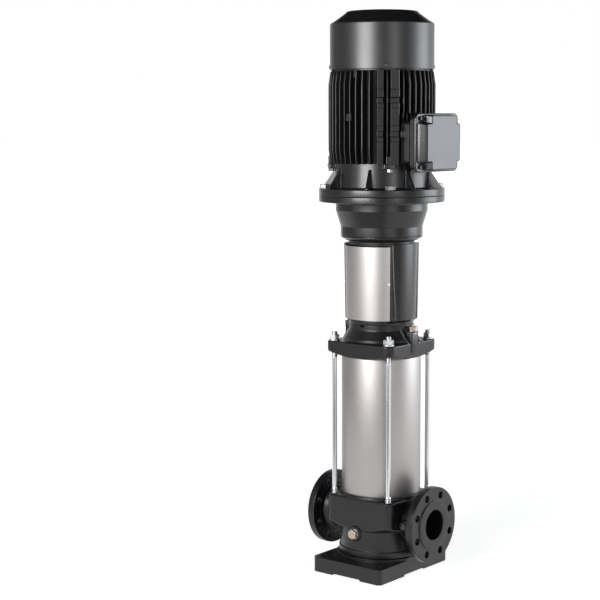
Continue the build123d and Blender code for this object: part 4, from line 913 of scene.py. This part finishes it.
def shield_surface(sizes):
    """The lower shield: a turned flange and bell, eight ribs between them and four lugs at its top."""
    low, high, bell = sizes.flange_bottom, sizes.flange_top, sizes.bell
    rim, joint = sizes.flange, sizes.frame_bottom
    profile = rounded([
        (24.5, low + 0.2, 0), (125, low + 0.2, 0), (rim, low + 0.2, 1.3), (rim, high, 2.4),
        (bell + 1.2, high, 5), (bell, joint - 3, 1), (bell, joint + 1, 0), (bell - 12, joint + 1, 0),
        (bell - 12, high + 2, 0), (24.5, high + 2, 0)], closed=True, steps=6)
    whole = turned(profile, 256)
    rib = rounded([(bell - 6, high - 3, 0), (rim - 6, high - 3, 0), (rim - 6, high + 2.4, 2),
                   (bell + 2, joint - 15, 8), (bell - 6, joint - 11, 0)], closed=True)
    drawn_in = rib + (rib - rib.mean(axis=0)) * -0.015
    solid = stacked([drawn_in, rib, rib, drawn_in], [-3.6, -2.9, 2.9, 3.6]).turned("X", 90)
    whole += solid.around(8, 22.5)
    lug = slab(30, 34, 5, [(1.2, joint - 12), (0, joint - 10.8), (0, joint - 0.3)]).moved(x=127)
    whole += lug.around(4, 45)
    return whole


def frame_outline(sizes, tips, strips):
    """The frame's cross-section: a fin at each place, or a broad strip beside each corner.

    In each half, places 17 and 19 are strips and places 15 and 16 are fins cut lower.
    """
    angles, radii = [], []
    barrel = sizes.barrel
    count = sizes.fins
    for number in range(count):
        place = number % (count // 2)
        turn = radians(-2.9) if place in (17, 18, 19) else 0.0
        middle = 2 * pi * number / count + turn
        if place in (17, 19):
            corner = pi / 4 + pi / 2 * (number // 12) + turn
            near, far = (10, 27) if place == 17 else (7.5, 30)
            x = np.array([sqrt(barrel**2 - near**2), strips - 1.2, strips, strips, strips - 1.2,
                          sqrt(barrel**2 - far**2)])
            y = np.array([near - 1, near, near + 1.2, far - 1.2, far, far + 0.6])
            if place == 17:
                x, y = x[::-1], -y[::-1]
            angles.append(corner + np.arctan2(y, x))
            radii.append(np.hypot(x, y))
            continue
        tip = tips - {15: 5, 16: 14}.get(place, 0)
        root, edge = sizes.fin_root / 2, sizes.fin_tip / 2
        x = np.array([barrel + 0.1, barrel + 2.2, tip - 1, tip - 0.2, tip, tip - 0.2, tip - 1,
                      barrel + 2.2, barrel + 0.1])
        y = np.array([-root - 1.6, -root, -edge, -edge + 0.7, 0, edge - 0.7, edge, root, root + 1.6])
        angles.append(middle + np.arctan2(y, x))
        radii.append(np.hypot(x, y))
    return np.concatenate(angles), np.concatenate(radii)


def frame_surface(sizes, box):
    """The finned frame: its fins are lower at both ends and cut flat at the terminal box's seat."""
    low, high = sizes.frame_bottom, sizes.frame_top
    pads = ((1140, 1152), (1167, 1180), (1225, 1237), (1252, 1272))
    steps = [level + shift for pair in pads for level in pair for shift in (-0.6, 0.6)]
    # The seat of the terminal box runs down to the frame's lower end
    seat_high, seat_side = box.level + 74.5, 86
    seat = [seat_high - 0.6, seat_high + 0.6]
    ends = [low, low + 1, low + 17, low + 34, high - 34, high - 17, high - 1, high]
    notches = [1153, 1166, 1238, 1250]
    levels = sorted(ends + steps + seat + notches)
    rows = []
    for level in levels:
        near_end = min(level - low, high - level)
        drop = 5 * max(0.0, 1 - near_end / 34)
        drop += 1.0 if near_end < 0.5 else 0.0
        on_pad = any(first < level < last for first, last in pads)
        notched = 1152.7 < level < 1166.5 or 1237.7 < level < 1250.5
        reach = sizes.strip + (4 if on_pad else 0) - (9 if notched else 0)
        angle, radius = frame_outline(sizes, sizes.fin - drop, reach)
        row = cylindrical(radius, angle, level)
        if level < seat_high:
            cut = (np.abs(row[:, 1]) < seat_side) & (row[:, 0] > box.seat)
            row[:, 0] = np.where(cut, box.seat, row[:, 0])
        rows.append(row)
    whole = Surface.grid(capped(np.stack(rows)))
    foot = slab(40, 21, 3, [(0.8, low + 0.2), (0, low + 1.2), (0, low + 19), (1, low + 20)]).moved(x=120.5)
    whole += foot.around(4, 45)
    top = slab(30, 18, 3, [(0.8, high - 18), (0, high - 17), (0, high - 1), (0.8, high - 0.1)]).moved(x=109)
    whole += top.around(4)
    seat_block = slab(107, 150, 6, [(0, 96), (0, box.seat - 1), (0.8, box.seat - 0.1)]).turned("Y", 90)
    whole += seat_block.moved(z=box.level)
    earth = slab(20, 16, 3, [(0, 112), (0, 136), (0.8, 137)]).turned("Y", 90).moved(z=box.level + 64.5)
    whole += earth.turned("Z", -92)
    return whole


def cover_surface(sizes):
    """The fan cover: a turned wall with a rounded shoulder, joined to a crown of slotted rings."""
    low, top, rim, crown = sizes.cover_bottom, sizes.cover_top, sizes.cover, sizes.crown
    outside = rounded([(crown - 3, top, 0), (crown + 1.5, top - 0.5, 4), (crown + 5, top - 5, 3),
                       (rim - 9, top - 27, 5), (rim, top - 31, 9), (rim, low, 0)], steps=7)
    inside = rounded([(rim - 2.5, low, 0), (rim - 2.5, top - 32, 7), (rim - 11, top - 29.5, 5),
                      (crown + 3, top - 7.4, 3), (crown - 1, top - 2.6, 3), (crown - 3, top - 2.5, 0)],
                     steps=7)
    wall = turned(np.concatenate((outside, inside)), 192, closed=False)
    edges = {"edge": 0.0, "chamfer": 0.3}
    outer = pierced_ring(38, crown - 3, top - 2.5, top, 62, slot_hole(21, 4), 24, 7.5, arc=8, **edges)
    inner = pierced_ring(3, 38, top - 2.5, top, 22, slot_hole(12, 4), 6, 30, arc=32, **edges)
    hub = turned([(3, top), (0, top), (0, top - 2.5), (3, top - 2.5)], 192, closed=False)
    return wall, outer, inner, hub


class PUMP_OT_motor(Operator):
    """Make the motor's lower shield, its flange bolts, the finned frame and the fan cover."""
    bl_idname = "pump.motor"
    bl_label = "Motor shield, frame and fan cover"

    def execute(self, context):
        sizes = millimetres(context.scene.pump_motor)
        sizes.fins = context.scene.pump_motor.fins
        box = millimetres(context.scene.pump_box)
        make_piece("lower_shield", shield_surface(sizes), "black_cast", ["drive_end_shield"], "black_gloss")
        top = sizes.flange_top
        collar = spun([(0, top - 2, 0), (12.6, top - 2, 0), (12.6, top + 0.7, 0.3), (0, top + 0.7, 0)], 48)
        bolt = (collar + hex_bar(24, top + 0.5, top + 10, below=False)).moved(x=150)
        make_piece("flange_bolts_dressed", bolt.around(4, 45), "zinc_steel", ["motor_flange_bolts"],
                   "dull_zinc")
        # The frame's finish holds painted shade: a darker copy of the castings' black paint.
        make_piece("finned_frame", frame_surface(sizes, box), "black_cast", ["motor_frame"], "black_frame_darkened_for_shade",
                   sharp=32)
        make_piece("fan_cover_dressed", joined(cover_surface(sizes)), "black_sheet", ["fan_cover"])
        reach = sizes.cover
        screw = spun([(0, reach - 14, 0), (2.4, reach - 14, 0), (2.4, reach - 0.4, 0), (4.6, reach - 0.4, 0),
                      (4.4, reach + 1.8, 1.5), (0, reach + 2.8, 0)], 40)
        screw = sideways(screw, sizes.cover_bottom + 7)
        make_piece("cover_screws_dressed", screw.around(4, 41), "zinc_steel", ["fan_cover_screws"],
                   "dark_steel")
        return {"FINISHED"}


# Terminal box

def lid_outline(half_height, half_width, notch_height, notch_width, inset):
    """A rectangle with notched corners; its long sides slope in by the inset, its ends much less."""
    a, p, q = half_height - 0.22 * inset, notch_height - 0.35 * inset, notch_width
    corners = []
    for sx, sy, slope in ((1, 1, 1.5), (-1, 1, 1.5), (-1, -1, 1), (1, -1, 1)):
        b = half_width - slope * inset
        notch = sy * (q - 0.4 * inset)
        part = [(sx * a, notch, 3), (sx * p, notch, 2.5), (sx * p, sy * b, 4)]
        corners += part if sx * sy > 0 else part[::-1]
    return rounded(corners, closed=True)


class PUMP_OT_terminal_box(Operator):
    """Make the terminal box base with its cable bosses, and its raised lid."""
    bl_idname = "pump.terminal_box"
    bl_label = "Terminal box"

    def execute(self, context):
        sizes = millimetres(context.scene.pump_box)
        face, seat, level = sizes.face, sizes.seat, sizes.level
        neck = slab(108, 150, 10, [(0, seat + 0.1), (0, face - 6)])
        rim = slab(136, 172, 13, [(16, face - 24), (11, face - 23), (1.2, face - 15), (0, face - 13.5),
                                  (0, face - 0.8), (0.8, face)])
        base = sideways(neck + rim, level)
        boss = spun([(0, -18, 0), (21, -18, 0), (21, 0.1, 1.4), (0, 0.1, 0)]).turned("X", 180)
        boss.points[:, 0] = np.clip(boss.points[:, 0], -21, 20)
        for side in (-38, 38):
            base += boss.moved(x=(seat + face) / 2 + 3, y=side, z=level - 68)
        make_piece("box_base_dressed", base, "black_cast", ["terminal_box_base"], "black_gloss")

        low = face + 2
        rim_top, reach = low + sizes.lid, sizes.lid_reach
        edge = slab(148, 190, 16, [(1.6, low + 0.05), (0.4, low + 0.7), (0, low + 1.8), (0, rim_top - 2.2),
                                   (0.6, rim_top - 0.8), (2, rim_top)])
        profile = [(0, rim_top - 3), (0.2, rim_top), (3.4, rim_top + 7), (6.8, rim_top + 14),
                   (9.6, reach - 2.8), (10.6, reach - 1.2), (12.2, reach - 0.3), (14, reach)]
        outlines = [lid_outline(70, 87, 51, 59, inset) for inset, height in profile]
        raised = stacked(outlines, [height for inset, height in profile])
        make_piece("box_lid_dressed", sideways(edge + raised, level), "black_cast", ["terminal_box_lid"],
                   "black_gloss")
        return {"FINISHED"}


# Finishes of the carried nodes

class PUMP_OT_finishes(Operator):
    """Give every carried CAD node the procedural finish of its material slot; the lid screws and the end
    shield bolts get another finish.
    """
    bl_idname = "pump.finishes"
    bl_label = "Finishes of the carried nodes"

    def execute(self, context):
        slots = {part["node"]: part["material_slot"] for part in frame["record"]["subparts"]}
        special = {"lid_screws": "black_gloss", "end_shield_bolts": "dull_zinc"}
        for name, node in frame["nodes"].items():
            made = finish(special.get(name, slots[name]))
            if not node.data.materials:
                node.data.materials.append(made)
            for number in range(len(node.data.materials)):
                node.data.materials[number] = made
        return {"FINISHED"}


# Stage

def softbox(name, azimuth, level, distance, width, tall, radiance, colour=(1, 1, 1)):
    """An area light at an angle round the shaft, facing it, of the given brightness per area."""
    lamp = bpy.data.lights.new(name, "AREA")
    lamp.shape = "RECTANGLE"
    lamp.size, lamp.size_y = width, tall
    lamp.energy = radiance * pi * width * tall
    lamp.color = colour
    lamp.spread = radians(110)
    item = bpy.data.objects.new(name, lamp)
    turn = radians(azimuth)
    item.location = (distance * cos(turn), distance * sin(turn), level)
    item.rotation_euler = (Vector((0, 0, level)) - Vector(item.location)).to_track_quat("-Z", "Y").to_euler()
    item.visible_camera = False
    bpy.context.scene.collection.objects.link(item)


def sheet(name, x, y, material):
    """A rectangle of the stage about its own origin, with its half sizes in metres."""
    mesh = bpy.data.meshes.new(name)
    mesh.from_pydata([(-x, -y, 0), (x, -y, 0), (x, y, 0), (-x, y, 0)], [], [(0, 1, 2, 3)])
    mesh.materials.append(material)
    item = bpy.data.objects.new(name, mesh)
    bpy.context.scene.collection.objects.link(item)
    return item


def background_mask(shader):
    """1 for rays that should see the plain white background: from the camera, a gloss or a clear surface."""
    kinds = [shader.node("ShaderNodeLightPath", output=name) for name in (
        "Is Camera Ray", "Is Glossy Ray", "Is Transmission Ray")]
    return kinds[0].larger(kinds[1]).larger(kinds[2])


def make_camera(stage):
    """The camera at its level distance from the shaft, turned by yaw, pitch and roll."""
    up = Vector((0, 0, 1))
    right = Vector((cos(stage.around), sin(stage.around), 0))
    ahead = Vector((-sin(stage.around), cos(stage.around), 0))
    place = -ahead * stage.distance + up * stage.height
    right_turned = right * cos(stage.yaw) + ahead * sin(stage.yaw)
    ahead_turned = ahead * cos(stage.yaw) - right * sin(stage.yaw)
    up_tilted = up * cos(stage.pitch) + ahead_turned * sin(stage.pitch)
    ahead_tilted = ahead_turned * cos(stage.pitch) - up * sin(stage.pitch)
    x_axis = right_turned * cos(stage.roll) - up_tilted * sin(stage.roll)
    y_axis = right_turned * sin(stage.roll) + up_tilted * cos(stage.roll)
    camera = bpy.data.objects.new("camera", bpy.data.cameras.new("camera"))
    camera.data.lens = stage.focal
    camera.data.sensor_width = 36
    camera.data.clip_end = 100
    columns = Matrix((x_axis, y_axis, -ahead_tilted)).transposed().to_4x4()
    camera.matrix_world = Matrix.Translation(place) @ columns
    bpy.context.scene.collection.objects.link(camera)
    bpy.context.scene.camera = camera


def make_room(stage):
    """The world: white where a ray should see the plain background, a dim room for all other rays."""
    world = bpy.data.worlds.new("studio")
    bpy.context.scene.world = world
    shader = Shader(world)
    dim = (stage.room, stage.room, stage.room * 1.02, 1)
    room = shader.node("ShaderNodeBackground", inputs={"Color": dim})
    white = shader.node("ShaderNodeBackground", inputs={"Color": (1, 1, 1, 1)})
    mixed = shader.node("ShaderNodeMixShader", inputs={0: background_mask(shader), 1: room, 2: white})
    shader.node("ShaderNodeOutputWorld", inputs={"Surface": mixed})


def floor_finish(stage):
    """A pale glowing floor that gets lighter away from the pump and is clear from below."""
    material = bpy.data.materials.new("floor")
    shader = Shader(material)
    here = shader.node("ShaderNodeTexCoord", output="Object")
    away = shader.node("ShaderNodeVectorMath", {"operation": "LENGTH"}, {0: here}, output="Value")
    far = shader.node("ShaderNodeMapRange", {"clamp": True, "interpolation_type": "SMOOTHSTEP"},
                      {0: away, 1: 0.5, 2: 3.0, 3: 0.0, 4: 1.0})
    pale = shader.blend(far, (0.78, 0.78, 0.78), (1.0, 1.0, 1.0))
    glow = shader.node("ShaderNodeMix", {"data_type": "RGBA"},
                       {0: background_mask(shader), 6: (0, 0, 0, 1), 7: pale}, output=2)
    surface = shader.node("ShaderNodeBsdfPrincipled", inputs={
        "Base Color": (*stage.floor, 1), "Roughness": 0.9, "Specular IOR Level": 0.0,
        "Emission Color": glow, "Emission Strength": 1.0})
    below = shader.node("ShaderNodeNewGeometry", output="Backfacing")
    clear = shader.node("ShaderNodeBsdfTransparent")
    one_sided = shader.node("ShaderNodeMixShader", inputs={0: below, 1: surface, 2: clear})
    shader.node("ShaderNodeOutputMaterial", inputs={"Surface": one_sided})
    return material


def cloth(name, colour, glow):
    """A matt cloth with an even glow of its own."""
    material = bpy.data.materials.new(name)
    shader = Shader(material)
    surface = shader.node("ShaderNodeBsdfPrincipled", inputs={
        "Base Color": (*colour, 1), "Roughness": 1.0, "Specular IOR Level": 0.0,
        "Emission Color": (*glow, 1), "Emission Strength": 1.0})
    shader.node("ShaderNodeOutputMaterial", inputs={"Surface": surface})
    return material


class PUMP_OT_stage(Operator):
    """Make the camera, the soft lights, the room, the floor and the cloths round the pump."""
    bl_idname = "pump.stage"
    bl_label = "Stage"

    def execute(self, context):
        stage = context.scene.pump_stage
        make_camera(stage)
        softbox("left_softbox", -90, 1.52, 2.6, 1.4, 1.2, 4.4)
        softbox("right_softbox", 45, 1.33, 2.6, 1.6, 1.55, 1.75, (0.88, 0.94, 1.0))
        softbox("front_strip", -26, 1.5, 3.0, 0.5, 1.1, 1.0)
        make_room(stage)
        floor = sheet("floor", 60.0, 60.0, floor_finish(stage))
        floor.location.z = -0.0005

        black = cloth("black_cloth", (0.03, 0.03, 0.03), (0, 0, 0))
        grey = cloth("grey_cloth", (0.3, 0.3, 0.3), (0.28, 0.28, 0.29))
        canopy = sheet("canopy", 4.5, 4.5, black)
        canopy.location.z = 3.1
        front_card = sheet("front_card", 0.9, 0.2, black)
        front_card.matrix_world = Matrix.Rotation(radians(-52), 4, "Z") @ Matrix.Translation((2.2, 0, 0.02))
        wide_card = sheet("wide_card", 1.2, 2.2, grey)
        wide_card.matrix_world = Matrix.Rotation(radians(-82), 4, "Z") @ Matrix.Translation((2.3, 0, 0.01))
        for item in (canopy, front_card, wide_card):
            item.visible_camera = False
            item.visible_shadow = False
        for name, azimuth, distance, width in (("camera_flag", -52, 4.6, 1.5), ("left_flag", -163, 3.2, 4.6),
                                               ("right_flag", -2, 3.2, 1.4)):
            flag = sheet(name, width / 2, 1.5, grey)
            turn = radians(azimuth)
            flag.matrix_world = (Matrix.Translation((distance * cos(turn), distance * sin(turn), 1.5))
                                 @ Matrix.Rotation(turn + pi / 2, 4, "Z") @ Matrix.Rotation(pi / 2, 4, "X"))
            flag.visible_camera = False
        context.scene.view_settings.view_transform = "Standard"
        return {"FINISHED"}


class PUMP_PT_panel(Panel):
    """The pump's operators in the sidebar."""
    bl_idname = "PUMP_PT_panel"
    bl_label = "Pump"
    bl_space_type = "VIEW_3D"
    bl_region_type = "UI"
    bl_category = "Pump"

    def draw(self, context):
        for operator in operators:
            self.layout.operator(operator.bl_idname)


groups = {
    "pump_base": PumpBaseSizes,
    "pump_sleeve": PumpSleeveSizes,
    "pump_head": PumpHeadSizes,
    "pump_stool": PumpStoolSizes,
    "pump_motor": PumpMotorSizes,
    "pump_box": PumpBoxSizes,
    "pump_finishes": PumpFinishes,
    "pump_stage": PumpStage,
}
operators = (PUMP_OT_base, PUMP_OT_sleeve, PUMP_OT_head, PUMP_OT_stool, PUMP_OT_motor, PUMP_OT_terminal_box,
             PUMP_OT_finishes, PUMP_OT_stage)


def register():
    """Register the property groups, operators and panel."""
    for name, group in groups.items():
        bpy.utils.register_class(group)
        setattr(bpy.types.Scene, name, PointerProperty(type=group))
    for item in (*operators, PUMP_PT_panel):
        bpy.utils.register_class(item)


def unregister():
    """Take everything out again."""
    for item in (PUMP_PT_panel, *reversed(operators)):
        bpy.utils.unregister_class(item)
    for name, group in reversed(groups.items()):
        delattr(bpy.types.Scene, name)
        bpy.utils.unregister_class(group)


def main():
    """Register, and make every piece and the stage."""
    register()
    for operator in operators:
        group, name = operator.bl_idname.split(".")
        getattr(getattr(bpy.ops, group), name)()


if __name__ == "__main__":
    main()
